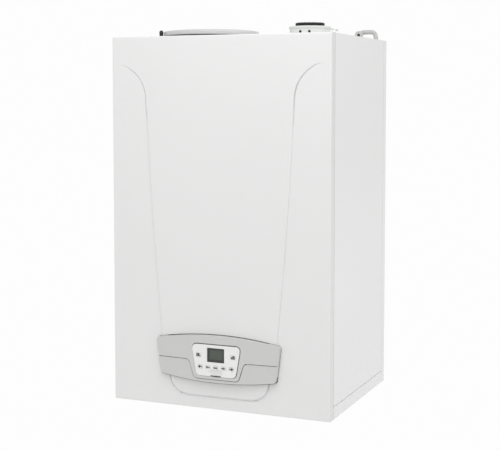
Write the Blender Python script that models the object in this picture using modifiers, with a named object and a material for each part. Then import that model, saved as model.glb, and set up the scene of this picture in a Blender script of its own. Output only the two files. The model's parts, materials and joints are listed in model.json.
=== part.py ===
"""Wall-hung condensing gas boiler with a built-in hot-water tank.

Metres, +Z up, front towards -Y. The world origin is the centre of the back plate's wall face.
Every piece is placed from the lower edge of the case, under an empty half the height below the origin.
"""

import math

import bmesh
import bpy
from mathutils import Matrix, Vector

# Case
WIDTH = 0.600
HEIGHT = 0.950
DEPTH = 0.466
SHEET = 0.0012
GAP = 0.0003
SEAM = 0.0012
RETURN_DEPTH = 0.025
SKIRT_HEIGHT = 0.031
PANEL_FLANGE = 0.014
EDGE_RADIUS = 0.0022

# Pressed field of the front panel
WING_SLOPE = 0.0125
FOOT_SLOPE = 0.034
LAND = 0.003
CREASE_ARC = 0.075
CREASE_TOP_INSET = 0.022
CREASE_TOP_DROP = 0.152
CREASE_BOW = 0.005
FIELD_FOOT_Z = 0.034
FIELD_FOOT_HALF = 0.139
FIELD_FOOT_RADIUS = 0.045

# Fascia
FASCIA_TOP_HALF = 0.1705
FASCIA_TOP_Z = 0.176
FASCIA_CREST_Z = 0.192
FASCIA_FOOT_HALF = 0.1595
FASCIA_FOOT_Z = 0.085
FASCIA_LOW_Z = 0.0725
FASCIA_CORNER = 0.008
FASCIA_BULGE = 0.016
FASCIA_END_BULGE = 0.008
FASCIA_SINK = 0.006
FASCIA_WALL = 0.0025
FASCIA_GAP = 0.0015
PARTING_Z = 0.128
PARTING_HALF = 0.085
TAB_FOOT_Z = 0.080
TAB_FOOT_HALF = 0.062
LOWER_STEP = 0.0018

# Control plate, display and keys
PLATE_TOP_Z = 0.172
PLATE_FOOT_Z = 0.089
PLATE_TOP_HALF = 0.068
PLATE_FOOT_HALF = 0.054
PLATE_CORNER = 0.010
PLATE_PROUD = 0.001
PLATE_GAP = 0.0008
PLATE_THICKNESS = 0.003
DISPLAY_Z = 0.1435
DISPLAY_WIDTH = 0.048
DISPLAY_HEIGHT = 0.037
DISPLAY_BORDER = 0.004
KEY_WIDTH = 0.013
KEY_HEIGHT = 0.009
KEY_GAP = 0.0005
KEY_TRAVEL = 0.0012
KEY_DEPTH = 0.007
UPPER_KEY_X = 0.0475
UPPER_KEY_Z = 0.142
KEY_PITCH = 0.0215
LOWER_KEY_Z = 0.112
SCOOP_HALF = 0.016
SCOOP_Z = 0.096

# Control housing behind the fascia
BOX_DEPTH = 0.072
BOX_HALF = FASCIA_FOOT_HALF - 0.0095
BOX_FOOT_Z = 0.084
BOX_TOP_Z = 0.170
BOX_WALL = 0.0025
HINGE_BACK = 0.012
HINGE_ARM_OUT = 0.0125
HINGE_ARM_SHEET = 0.003
HINGE_RADIUS = 0.003

# Storage tank and expansion vessel
TANK_SIDE = 0.031
TANK_RADIUS = WIDTH / 2 - 0.162
TANK_X = TANK_SIDE + TANK_RADIUS - WIDTH / 2
TANK_FRONT = 0.247
TANK_FOOT_Z = 0.215
TANK_TOP_Z = HEIGHT - 0.104
TANK_PORT_OUT = 0.005
HOT_PORT_Z = TANK_TOP_Z - 0.046
FLOW_PORT_Z = 0.450
RETURN_PORT_Z = 0.270
COLD_PORT_Z = 0.250
VESSEL_RADIUS = TANK_RADIUS - 0.008
VESSEL_RISE = 0.025
VESSEL_TOP_Z = HEIGHT + VESSEL_RISE
VESSEL_HEIGHT = 0.112
SHELF_SHEET = 0.002

# Burner side
BURNER_X = WIDTH / 2 - 0.140
BURNER_Z = HEIGHT - 0.260
BURNER_RADIUS = 0.105
BURNER_LENGTH = DEPTH - 0.276
BURNER_BACK = 0.140
FLUE_FRONT = 0.233
FLUE_PIPE_RADIUS = 0.0365
FLUE_WALL = 0.002
FLUE_TOP = 0.039
COLLAR_RADIUS = 0.0545
COLLAR_WALL = 0.003
COLLAR_TOP = 0.029
SEAL_RADIUS = 0.0385
FAN_X = BURNER_X + 0.035
FAN_Z = BURNER_Z - 0.210
FAN_RADIUS = 0.062
FAN_WIDTH = 0.054
BLADES = 16

# Pipework
PIPE_RADIUS = 0.009
THIN_PIPE_RADIUS = 0.0075
CONNECTOR_PITCH = WIDTH * 0.65 / 6
CONNECTOR_BACK = 0.150
CONNECTOR_RADIUS = 0.013
PUMP_X = BURNER_X - 0.068
PUMP_Z = 0.235

SMOOTH_ANGLE = math.radians(32)

for old in list(bpy.data.objects):
    bpy.data.objects.remove(old, do_unlink=True)

parts = bpy.data.collections.new("gas_boiler")
cutters = bpy.data.collections.new("cutters")
cutters.hide_render = True
for group in (parts, cutters):
    bpy.context.scene.collection.children.link(group)

base = bpy.data.objects.new("case_foot", None)
base.location = (0, 0, -HEIGHT / 2)
parts.objects.link(base)


def material(name, colour, roughness, metallic=0.0):
    made = bpy.data.materials.new(name)
    made.use_nodes = True
    shader = made.node_tree.nodes["Principled BSDF"]
    shader.inputs["Base Color"].default_value = (*colour, 1)
    shader.inputs["Roughness"].default_value = roughness
    shader.inputs["Metallic"].default_value = metallic
    return made


WHITE = material("white_enamel", (0.83, 0.84, 0.82), 0.35)
GREY = material("grey_moulding", (0.56, 0.57, 0.56), 0.45)
PALE = material("pale_plastic", (0.80, 0.80, 0.79), 0.40)
BLACK = material("black_plastic", (0.02, 0.02, 0.02), 0.40)
GLASS = material("display_glass", (0.09, 0.10, 0.09), 0.15)
KEY = material("key_rubber", (0.78, 0.78, 0.77), 0.50)
STEEL = material("zinc_steel", (0.60, 0.61, 0.62), 0.38, 0.9)
ALLOY = material("cast_aluminium", (0.62, 0.62, 0.61), 0.50, 0.8)
COPPER = material("copper_pipe", (0.72, 0.38, 0.24), 0.30, 1.0)
BRASS = material("brass", (0.74, 0.56, 0.28), 0.35, 1.0)
RUBBER = material("rubber", (0.03, 0.03, 0.03), 0.75)
FOAM = material("tank_insulation", (0.30, 0.32, 0.35), 0.85)
BOARD = material("board_green", (0.05, 0.22, 0.10), 0.50)
TAP = material("tap_blue", (0.05, 0.16, 0.42), 0.45)
VESSEL = material("vessel_grey", (0.50, 0.50, 0.50), 0.42, 0.2)


def place(obj, finish, collection=parts):
    collection.objects.link(obj)
    obj.parent = base
    if collection is cutters:
        obj.hide_render = True
        obj.display_type = "WIRE"
    elif finish is not None:
        obj.data.materials.append(finish)
    return obj


def tool(obj):
    """Moves an object to the cutters, where it shapes another and isn't a piece itself."""
    parts.objects.unlink(obj)
    cutters.objects.link(obj)
    obj.hide_render = True
    obj.display_type = "WIRE"
    return obj


def boolean(obj, other, operation):
    modifier = obj.modifiers.new(operation.lower(), "BOOLEAN")
    modifier.operation = operation
    modifier.solver = "EXACT"
    modifier.object = tool(other)
    return obj


def cut(obj, *others):
    for other in others:
        boolean(obj, other, "DIFFERENCE")
    return obj


def fuse(obj, *others):
    for other in others:
        boolean(obj, other, "UNION")
    return obj


def keep(obj, other):
    return boolean(obj, other, "INTERSECT")


def from_bmesh(name, shape, location, finish, smooth=False):
    mesh = bpy.data.meshes.new(name)
    shape.to_mesh(mesh)
    shape.free()
    if smooth:
        mesh.shade_smooth()
        mesh.set_sharp_from_angle(angle=SMOOTH_ANGLE)
    obj = bpy.data.objects.new(name, mesh)
    obj.location = location
    return place(obj, finish)


def box(name, low, high, finish=None, edge=0.0):
    low, high = Vector(low), Vector(high)
    shape = bmesh.new()
    bmesh.ops.create_cube(shape, size=1)
    bmesh.ops.scale(shape, vec=high - low, verts=shape.verts)
    obj = from_bmesh(name, shape, (low + high) / 2, finish)
    if edge:
        modifier = obj.modifiers.new("edges", "BEVEL")
        modifier.width = edge
        modifier.segments = 2
    return obj


ALONG = {
    "X": Matrix.Rotation(math.radians(90), 4, "Y"),
    "Y": Matrix.Rotation(math.radians(90), 4, "X"),
    "Z": Matrix.Identity(4),
}


def rod(name, middle, radius, length, axis="Z", finish=None, sides=24, far_radius=None):
    """A cylinder or a cone about its middle; far_radius is its radius at the +axis end, or -Y end."""
    shape = bmesh.new()
    end = radius if far_radius is None else far_radius
    bmesh.ops.create_cone(
        shape, cap_ends=True, segments=sides, radius1=radius, radius2=end, depth=length
    )
    bmesh.ops.transform(shape, matrix=ALONG[axis], verts=shape.verts)
    return from_bmesh(name, shape, middle, finish, smooth=True)


def turned(name, profile, place_at, axis="Z", finish=None, steps=40):
    """A solid of revolution. The profile is (radius, height) pairs from the top down its outer side."""
    mesh = bpy.data.meshes.new(name)
    points = [(radius, 0, height) for radius, height in profile]
    closed = profile[0][0] > 0 and profile[-1][0] > 0
    edges = [(i, i + 1) for i in range(len(points) - 1)]
    if closed:
        edges.append((len(points) - 1, 0))
    mesh.from_pydata(points, edges, [])
    obj = bpy.data.objects.new(name, mesh)
    obj.location = place_at
    obj.rotation_euler = ALONG[axis].to_euler()
    place(obj, finish)
    modifier = obj.modifiers.new("turn", "SCREW")
    modifier.steps = steps
    modifier.render_steps = steps
    modifier.use_merge_vertices = True
    modifier.merge_threshold = 0.00002
    modifier.use_smooth_shade = True
    return as_mesh(obj)


def as_mesh(obj):
    """The object with its modifiers or its curve turned into one welded mesh."""
    graph = bpy.context.evaluated_depsgraph_get()
    graph.update()
    made = bpy.data.meshes.new_from_object(obj.evaluated_get(graph))
    shape = bmesh.new()
    shape.from_mesh(made)
    bmesh.ops.remove_doubles(shape, verts=shape.verts, dist=0.000005)
    bmesh.ops.recalc_face_normals(shape, faces=shape.faces)
    shape.to_mesh(made)
    shape.free()
    made.shade_smooth()
    made.set_sharp_from_angle(angle=SMOOTH_ANGLE)
    new = bpy.data.objects.new(obj.name, made)
    name = obj.name
    new.parent = base
    new.matrix_local = obj.matrix_local
    bpy.data.objects.remove(obj, do_unlink=True)
    new.name = name
    parts.objects.link(new)
    return new


def prism(name, outline, near, far, finish=None):
    """A flat outline in X and Z, filled and extruded from y = near to y = far."""
    curve = bpy.data.curves.new(name, "CURVE")
    curve.dimensions = "2D"
    curve.fill_mode = "BOTH"
    curve.extrude = abs(far - near) / 2
    spline = curve.splines.new("POLY")
    spline.points.add(len(outline) - 1)
    for point, (x, z) in zip(spline.points, outline):
        point.co = (x, z, 0, 1)
    spline.use_cyclic_u = True
    obj = bpy.data.objects.new(name, curve)
    obj.location = (0, (near + far) / 2, 0)
    obj.rotation_euler = (math.radians(90), 0, 0)
    place(obj, finish)
    return as_mesh(obj)


def tube(name, points, radius, finish, bend=0.03, sides=2):
    """A round pipe through the given corners, each rounded to the bend radius."""
    path = [Vector(points[0])]
    for before, corner, after in zip(points, points[1:], points[2:]):
        corner = Vector(corner)
        into = (Vector(before) - corner).normalized()
        out = (Vector(after) - corner).normalized()
        half = (math.pi - into.angle(out)) / 2
        reach = bend * math.tan(half)
        start = corner + into * reach
        end = corner + out * reach
        for step in range(4):
            t = step / 3
            middle = start.lerp(corner, t).lerp(corner.lerp(end, t), t)
            path.append(middle)
    path.append(Vector(points[-1]))
    curve = bpy.data.curves.new(name, "CURVE")
    curve.dimensions = "3D"
    curve.bevel_depth = radius
    curve.bevel_resolution = sides
    curve.use_fill_caps = True
    spline = curve.splines.new("POLY")
    spline.points.add(len(path) - 1)
    for point, where in zip(spline.points, path):
        point.co = (*where, 1)
    obj = bpy.data.objects.new(name, curve)
    place(obj, finish)
    return as_mesh(obj)


def arc(centre, radius, start, end, steps=8):
    """Points of a circular arc in X and Z, angles in degrees."""
    found = []
    for step in range(steps + 1):
        angle = math.radians(start + (end - start) * step / steps)
        found.append((centre[0] + radius * math.cos(angle), centre[1] + radius * math.sin(angle)))
    return found


def rounded(corners, radius, steps=4):
    """A closed outline with each corner rounded; corners are (x, z) in order."""
    found = []
    count = len(corners)
    for i, corner in enumerate(corners):
        here = Vector(corner)
        into = (Vector(corners[i - 1]) - here).normalized()
        out = (Vector(corners[(i + 1) % count]) - here).normalized()
        half = into.angle(out) / 2
        reach = radius / math.tan(half)
        start, end = here + into * reach, here + out * reach
        for step in range(steps + 1):
            t = step / steps
            found.append(tuple(start.lerp(here, t).lerp(here.lerp(end, t), t)))
    return found


def offset(outline, distance):
    """A closed outline moved outward by distance, or inward if it is negative."""
    area = sum(
        a[0] * b[1] - b[0] * a[1] for a, b in zip(outline, outline[1:] + outline[:1])
    )
    side = distance if area > 0 else -distance
    found = []
    count = len(outline)
    for i, point in enumerate(outline):
        before = Vector(point) - Vector(outline[i - 1])
        after = Vector(outline[(i + 1) % count]) - Vector(point)
        n1 = Vector((before.y, -before.x)).normalized()
        n2 = Vector((after.y, -after.x)).normalized()
        both = (n1 + n2).normalized()
        found.append(tuple(Vector(point) + both * side / max(both.dot(n1), 0.3)))
    return found


def hang(obj, pivot):
    """Parents a piece to an empty on its joint's axis, where it stays."""
    obj.parent = pivot
    obj.location = obj.location - pivot.location
    return obj


FRONT = -DEPTH
PANEL_BACK = FRONT + RETURN_DEPTH
FRAME_FRONT = -RETURN_DEPTH
HALF = WIDTH / 2
TANK_Y = FRONT + TANK_FRONT
FLUE_Y = FRONT + FLUE_FRONT
TOP_HOLE = 0.002
OVER = 0.002
VALVE_TURN = math.radians(215.54)
VALVE_REACH = VESSEL_RADIUS + 0.00764
VALVE_X = TANK_X + VALVE_REACH * math.cos(VALVE_TURN)
VALVE_Y = TANK_Y + VALVE_REACH * math.sin(VALVE_TURN)
HANGER_Y = -0.012
HANGER_ROD = 0.0055
HANGER_SIDE = 0.028
HANGER_SPAN = 0.056
PLATE_BACKSET = FASCIA_BULGE - FASCIA_END_BULGE + PLATE_THICKNESS
TANK_SIDE_X = TANK_X + TANK_RADIUS + TANK_PORT_OUT
PORT_Y = -0.165
COIL_PORT_Y = PORT_Y - 0.054
HOT_PORT_Y = PORT_Y - 0.085
COLD_PORT_Y = PORT_Y - 0.120
BURNER_Y = -(BURNER_BACK + BURNER_LENGTH / 2)
DRUM_FRONT = -(BURNER_BACK + BURNER_LENGTH)
DUCT_Y = DRUM_FRONT - 0.042
CONNECTOR_TOP = 0.045
TRAY_TOP = SHEET + GAP
SHELF_TOP = VESSEL_TOP_Z - VESSEL_HEIGHT - GAP
HINGE_Z = BOX_FOOT_Z + HINGE_RADIUS
MIXER_Y = DUCT_Y + 0.060
SILENCER_BACK = PORT_Y - 0.0424
FLOW_X = BURNER_X - 0.050
RETURN_X = BURNER_X + 0.055
VENT_X = BURNER_X + 0.055
RISER_X = FLOW_X - 0.073
RETURN_END_X = BURNER_X - 0.030
GAS_X = HALF - 0.038
GAS_Y = DUCT_Y + 0.042
GAS_RUN_Y = -0.215
GAS_RUN_Z = 0.066
GAS_VALVE_Z = FAN_Z - 0.095
DRAIN_X = HALF - 0.050
DRAIN_Y = GAS_Y + 0.070
THREE_WAY_Z = 0.150
SAFETY_X = 0.100 - HALF
SAFETY_Z = 0.080
GAUGE_X = 0.065 - HALF
GAUGE_Y = FRONT + 0.111
GAUGE_Z = 0.062
TAP_X = HALF - 0.110


def crease():
    """The raised field's right edge, from the fascia's top corner up to where it fades out."""
    foot = (FASCIA_TOP_HALF - 0.0125, FASCIA_TOP_Z + 0.004)
    centre = (HALF - CREASE_TOP_INSET, HEIGHT - CREASE_TOP_DROP)
    head = (centre[0] - CREASE_ARC, centre[1])
    found = []
    for step in range(7):
        t = step / 7
        bow = 4 * CREASE_BOW * t * (1 - t)
        found.append((foot[0] + (head[0] - foot[0]) * t + bow, foot[1] + (head[1] - foot[1]) * t))
    return found + arc(centre, CREASE_ARC, 180, 98, 9)


def relief(grow):
    """What the press sinks around the raised field. grow makes the inner face's version.

    Its floor is three planes that rise to nothing at the panel's sides and at its lower edge.
    """
    beyond = HALF + 0.02
    foot_corner = (FIELD_FOOT_HALF - FIELD_FOOT_RADIUS, FIELD_FOOT_Z + FIELD_FOOT_RADIUS)
    right = arc(foot_corner, FIELD_FOOT_RADIUS, 270, 360)
    right += [(FIELD_FOOT_HALF + 0.002, FASCIA_FOOT_Z + 0.01)]
    right += crease()
    right += [(beyond, HEIGHT - CREASE_TOP_DROP + CREASE_ARC), (beyond, -0.02)]
    left = [(-x, z) for x, z in reversed(right)]
    shape = prism(f"relief_{grow}", offset(left + right, grow), FRONT - 0.01, FRONT + 0.01)
    for name, x, z, turn in (("right", HALF - LAND, 0, (0, 0, -math.atan(WING_SLOPE))),
                             ("left", LAND - HALF, 0, (0, 0, math.atan(WING_SLOPE))),
                             ("foot", 0, LAND, (-math.atan(FOOT_SLOPE), 0, 0))):
        plane = box(f"{name}_plane_{grow}", (-WIDTH - 0.1, -0.03, -HEIGHT - 0.1), (WIDTH + 0.1, 0, HEIGHT + 0.1))
        plane.data.transform(Matrix.Translation((0, -0.015, 0)))
        plane.location = (x, FRONT + grow, z)
        plane.rotation_euler = turn
        keep(shape, plane)
    return shape


def fascia_outline():
    """The whole grey band: curved top and bottom edges and rounded corners."""
    top, low = [], []
    for step in range(13):
        t = -1 + step / 6
        top.append((t * FASCIA_TOP_HALF, FASCIA_CREST_Z - (FASCIA_CREST_Z - FASCIA_TOP_Z) * t * t))
        low.append((-t * FASCIA_FOOT_HALF, FASCIA_LOW_Z + (FASCIA_FOOT_Z - FASCIA_LOW_Z) * t * t))
    corners = []
    outline = top + low
    for i, corner in enumerate(outline):
        if abs(corner[0]) > FASCIA_FOOT_HALF - 0.001:
            turn = rounded([outline[i - 1], corner, outline[(i + 1) % len(outline)]], FASCIA_CORNER)
            corners += turn[5:10]
        else:
            corners.append(corner)
    return corners


def bulged(name, crest, ends, y_back):
    """A block whose front is the fascia's bulge: crest ahead of the panel in the middle, ends at the sides."""
    sag = crest - ends
    radius = (FASCIA_TOP_HALF**2 + sag**2) / (2 * sag)
    middle_z = (FASCIA_CREST_Z + FASCIA_LOW_Z) / 2
    barrel = rod(name, (0, FRONT - crest + radius, middle_z), radius, 0.2, sides=720)
    slab = box(
        name + "_slab", (-0.2, FRONT - 0.05, middle_z - 0.09), (0.2, y_back, middle_z + 0.09)
    )
    return keep(barrel, slab)


def case():
    """Back plate, sides, top, bottom tray, front panel and the screws that hold them."""
    plate = box("back_plate", (-HALF, FRAME_FRONT, 0), (HALF, 0, HEIGHT), WHITE)
    cut(plate, box("back_hollow", (-HALF + SHEET, FRAME_FRONT - OVER, SHEET),
                   (HALF - SHEET, -SHEET, HEIGHT - SHEET)))
    side_low = SKIRT_HEIGHT + SEAM
    for name, side in (("left_side_panel", -1), ("right_side_panel", 1)):
        edges = sorted((side * (HALF - PANEL_FLANGE), side * HALF))
        panel = box(name, (edges[0], PANEL_BACK + SEAM, side_low),
                    (edges[1], FRAME_FRONT - SEAM, HEIGHT), WHITE)
        inner = sorted((side * (HALF - SHEET), side * (HALF - PANEL_FLANGE - OVER)))
        cut(panel, box(name + "_hollow", (inner[0], PANEL_BACK + SEAM + SHEET, side_low + SHEET),
                       (inner[1], FRAME_FRONT - SEAM - SHEET, HEIGHT - SHEET)))
        case_screws(panel, side)
    tray = box("base_tray", (-HALF, PANEL_BACK + SEAM, 0), (HALF, FRAME_FRONT - SEAM, SKIRT_HEIGHT), WHITE)
    cut(tray, box("tray_hollow", (-HALF + SHEET, PANEL_BACK + SEAM + SHEET, SHEET),
                  (HALF - SHEET, FRAME_FRONT - SEAM - SHEET, SKIRT_HEIGHT + OVER)))
    for i in range(-2, 3):
        cut(tray, rod(f"tray_hole_{i}", (i * CONNECTOR_PITCH, -CONNECTOR_BACK, 0),
                      CONNECTOR_RADIUS + TOP_HOLE, 0.02))
    inside = HALF - PANEL_FLANGE - GAP
    top = box("top_panel", (-inside, PANEL_BACK + SEAM, HEIGHT - 0.018),
              (inside, FRAME_FRONT - SEAM, HEIGHT), WHITE)
    cut(top, box("top_hollow", (-inside + SHEET, PANEL_BACK + SEAM + SHEET, HEIGHT - 0.018 - OVER),
                 (inside - SHEET, FRAME_FRONT - SEAM - SHEET, HEIGHT - SHEET)))
    cut(top, rod("vessel_hole", (TANK_X, TANK_Y, HEIGHT), VESSEL_RADIUS + TOP_HOLE, 0.02, sides=36))
    cut(top, rod("flue_hole", (BURNER_X, FLUE_Y, HEIGHT), COLLAR_RADIUS - 0.008, 0.02, sides=28))
    cut(top, rod("valve_hole", (VALVE_X, VALVE_Y, HEIGHT), 0.0045, 0.02))
    front_panel()


def front_panel():
    """The pressed front: a folded tray with the raised field and the fascia's opening."""
    panel = box("front_panel", (-HALF, FRONT, 0), (HALF, PANEL_BACK, HEIGHT), WHITE, EDGE_RADIUS)
    cut(panel, relief(0.0))
    hollow = box("front_hollow", (-HALF + SHEET, FRONT + SHEET, SHEET),
                 (HALF - SHEET, PANEL_BACK + 0.01, HEIGHT - SHEET))
    cut(hollow, relief(SHEET))
    cut(panel, hollow)
    opening = prism("fascia_opening", offset(fascia_outline(), FASCIA_GAP), FRONT - 0.02, FRONT + 0.02)
    cut(panel, opening)


def case_screws(panel, side):
    """Pan-head screws in a side panel's top flange, heads above the case."""
    for back in (0.031, 0.064):
        head = [(0, 0.0078), (0.0022, 0.0074), (0.0040, 0.0052), (0.0044, 0), (0.0044, -SHEET / 2), (0, -SHEET / 2)]
        x = side * (HALF - 0.009)
        fuse(panel, turned(f"screw_{side}_{back}", head, (x, FRONT + back, HEIGHT), steps=16))


def hangers():
    """Bent rods above the rear edge that hang the case while it is fixed."""
    for name, side in (("left_hanger", -1), ("right_hanger", 1)):
        x0, x1 = side * (HALF - HANGER_SIDE - HANGER_SPAN), side * (HALF - HANGER_SIDE)
        path = [(x0, HANGER_Y, HEIGHT + 0.004), (x0, HANGER_Y, HEIGHT + 0.030),
                (x1, HANGER_Y, HEIGHT + 0.030), (x1, HANGER_Y, HEIGHT + 0.004)]
        bar = tube(name, path, HANGER_ROD, STEEL, 0.010)
        for x in (x0, x1):
            foot = box(f"{name}_foot_{x}", (x - 0.011, HANGER_Y - 0.009, HEIGHT + GAP),
                       (x + 0.011, HANGER_Y + 0.009, HEIGHT + 0.005))
            fuse(bar, foot)


def control_unit():
    """Fascia, plate, display, keys and the housing that swings down behind them."""
    pivot = bpy.data.objects.new("control_hinge", None)
    pivot.location = (0, FRONT + HINGE_BACK, HINGE_Z)
    parts.objects.link(pivot)
    pivot.parent = base
    whole = fascia_outline()
    depth = FRONT + FASCIA_SINK
    shapes = (("fascia_upper", 0.0), ("fascia_lower", LOWER_STEP))
    tab = [(-0.2, PARTING_Z), (-PARTING_HALF, PARTING_Z), (-TAB_FOOT_HALF, TAB_FOOT_Z),
           (TAB_FOOT_HALF, TAB_FOOT_Z), (PARTING_HALF, PARTING_Z), (0.2, PARTING_Z), (0.2, 0.25), (-0.2, 0.25)]
    for name, step in shapes:
        shell = prism(name, whole, FRONT - 0.03, depth, GREY)
        keep(shell, bulged(name + "_bulge", FASCIA_BULGE - step, FASCIA_END_BULGE - step, depth))
        inner = prism(name + "_inner", offset(whole, -FASCIA_WALL), FRONT - 0.03, depth + OVER)
        keep(inner, bulged(name + "_inner_bulge", FASCIA_BULGE - step - FASCIA_WALL,
                           FASCIA_END_BULGE - step - FASCIA_WALL, depth + 2 * OVER))
        cut(shell, inner)
        if name == "fascia_upper":
            keep(shell, prism("upper_region", offset(rounded(tab, 0.006), -GAP), FRONT - 0.04, depth + 0.02))
            cut(shell, prism("plate_pocket", plate_outline(PLATE_GAP), FRONT - 0.04, depth + OVER))
        else:
            cut(shell, prism("lower_region", rounded(tab, 0.006), FRONT - 0.04, depth + 0.02))
        hang(shell, pivot)
    plate = prism("control_plate", plate_outline(0), FRONT - 0.03, depth, PALE)
    keep(plate, bulged("plate_bulge", FASCIA_BULGE + PLATE_PROUD, FASCIA_END_BULGE + PLATE_PROUD, depth))
    back = prism("plate_back", plate_outline(-PLATE_THICKNESS), FRONT - PLATE_BACKSET, depth + OVER)
    cut(plate, back)
    window = [(-DISPLAY_WIDTH / 2, DISPLAY_Z - DISPLAY_HEIGHT / 2), (DISPLAY_WIDTH / 2, DISPLAY_Z - DISPLAY_HEIGHT / 2),
              (DISPLAY_WIDTH / 2, DISPLAY_Z + DISPLAY_HEIGHT / 2), (-DISPLAY_WIDTH / 2, DISPLAY_Z + DISPLAY_HEIGHT / 2)]
    cut(plate, prism("window", window, FRONT - 0.03, depth))
    scoop = rod("scoop", (0, FRONT - FASCIA_BULGE - 0.018, SCOOP_Z + 0.004), 0.020, 0.1, sides=32)
    cut(plate, shallow(scoop))
    frame_front = FRONT - FASCIA_BULGE + 0.0012
    display = prism("display_frame", offset(window, -GAP), frame_front, FRONT - PLATE_BACKSET + 0.004, BLACK)
    cut(display, prism("pane_recess", offset(window, -DISPLAY_BORDER), frame_front - OVER, frame_front + 0.0016))
    pane = prism("display_glass", offset(window, -DISPLAY_BORDER - GAP), frame_front + 0.0003,
                 frame_front + 0.0013, GLASS)
    hang(display, pivot)
    hang(pane, pivot)
    for name, x, z in keys():
        outline = rounded([(x - KEY_WIDTH / 2, z - KEY_HEIGHT / 2), (x + KEY_WIDTH / 2, z - KEY_HEIGHT / 2),
                           (x + KEY_WIDTH / 2, z + KEY_HEIGHT / 2), (x - KEY_WIDTH / 2, z + KEY_HEIGHT / 2)], 0.004)
        front = key_front(x)
        cut(plate, prism(name + "_hole", offset(outline, KEY_GAP), FRONT - 0.03, depth))
        hang(prism(name, outline, front, front + KEY_DEPTH, KEY), pivot)
    hang(plate, pivot)
    housing(pivot, depth)


def shallow(rounded_rod):
    """Limits the thumb scoop to its own width and height."""
    outline = rounded([(-SCOOP_HALF, SCOOP_Z - 0.007), (SCOOP_HALF, SCOOP_Z - 0.007),
                       (SCOOP_HALF, SCOOP_Z + 0.007), (-SCOOP_HALF, SCOOP_Z + 0.007)], 0.006)
    return keep(prism("scoop_edge", outline, FRONT - 0.04, FRONT), rounded_rod)


def plate_outline(grow):
    corners = [(-PLATE_FOOT_HALF, PLATE_FOOT_Z), (PLATE_FOOT_HALF, PLATE_FOOT_Z),
               (PLATE_TOP_HALF, PLATE_TOP_Z), (-PLATE_TOP_HALF, PLATE_TOP_Z)]
    return offset(rounded(corners, PLATE_CORNER), grow)


def key_front(x):
    sag = (FASCIA_BULGE - FASCIA_END_BULGE) * (x / FASCIA_TOP_HALF) ** 2
    return FRONT - FASCIA_BULGE - PLATE_PROUD + sag - 0.0006


def keys():
    found = [("key_upper_left", -UPPER_KEY_X, UPPER_KEY_Z), ("key_upper_right", UPPER_KEY_X, UPPER_KEY_Z)]
    for i in range(-2, 3):
        found.append((f"key_lower_{i + 3}", i * KEY_PITCH, LOWER_KEY_Z))
    return found


def housing(pivot, depth):
    front = depth + GAP
    back = front + BOX_DEPTH
    case_box = box("control_housing", (-BOX_HALF, front, BOX_FOOT_Z), (BOX_HALF, back, BOX_TOP_Z), BLACK, 0.002)
    cut(case_box, box("housing_hollow", (-BOX_HALF + BOX_WALL, front - OVER, BOX_FOOT_Z + BOX_WALL),
                      (BOX_HALF - BOX_WALL, back - BOX_WALL, BOX_TOP_Z - BOX_WALL)))
    slots = [box(f"vent_{i}", (-0.09 + i * 0.02, back - 0.04, BOX_TOP_Z - 0.01),
                 (-0.082 + i * 0.02, back - 0.012, BOX_TOP_Z + OVER)) for i in range(10)]
    cut(case_box, *slots)
    for side in (-1, 1):
        ear = rod(f"ear_{side}", (side * (BOX_HALF + 0.008), FRONT + HINGE_BACK, HINGE_Z), HINGE_RADIUS, 0.018, "X")
        fuse(case_box, ear)
    hang(case_box, pivot)
    board = box("circuit_board", (-0.12, back - BOX_WALL - 0.008, BOX_FOOT_Z + 0.008),
                (0.12, back - BOX_WALL - GAP, BOX_TOP_Z - 0.008), BOARD)
    for i, (x, size) in enumerate(((-0.09, 0.018), (-0.05, 0.012), (0.0, 0.022), (0.06, 0.014), (0.1, 0.010))):
        fuse(board, box(f"chip_{i}", (x - size / 2, back - 0.026, BOX_FOOT_Z + 0.02),
                        (x + size / 2, back - BOX_WALL - 0.007, BOX_FOOT_Z + 0.02 + size)))
    cut(board, box("board_face", (-0.13, back - 0.0085, BOX_FOOT_Z), (0.13, back - 0.0075, BOX_FOOT_Z + 0.004)))
    hang(board, pivot)
    brackets = []
    arm_out = BOX_HALF + HINGE_ARM_OUT
    for side in (-1, 1):
        x = side * arm_out
        edges = sorted((x, x + side * HINGE_ARM_SHEET))
        arm = box(f"hinge_bracket_{side}", (edges[0], FRONT + HINGE_BACK - 0.006, SHEET + GAP),
                  (edges[1], PANEL_BACK + SEAM + 0.04, BOX_FOOT_Z + 0.012), STEEL)
        cut(arm, rod(f"eye_{side}", (x, FRONT + HINGE_BACK, HINGE_Z), HINGE_RADIUS + 0.0004, 0.02, "X"))
        cut(arm, box(f"arm_foot_{side}", (edges[0] - 0.01, FRONT - 0.01, -0.01),
                     (edges[1] + 0.01, PANEL_BACK + SEAM + SHEET + GAP, SKIRT_HEIGHT + 0.004)))
        brackets.append(arm)
    brackets[0].name = "hinge_frame"
    fuse(*brackets)
    rail_y = PANEL_BACK + SEAM + 0.030
    rail_half = arm_out + 0.002
    fuse(brackets[0], box("hinge_rail", (-rail_half, rail_y, TRAY_TOP), (rail_half, rail_y + 0.010, 0.006)))


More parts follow.
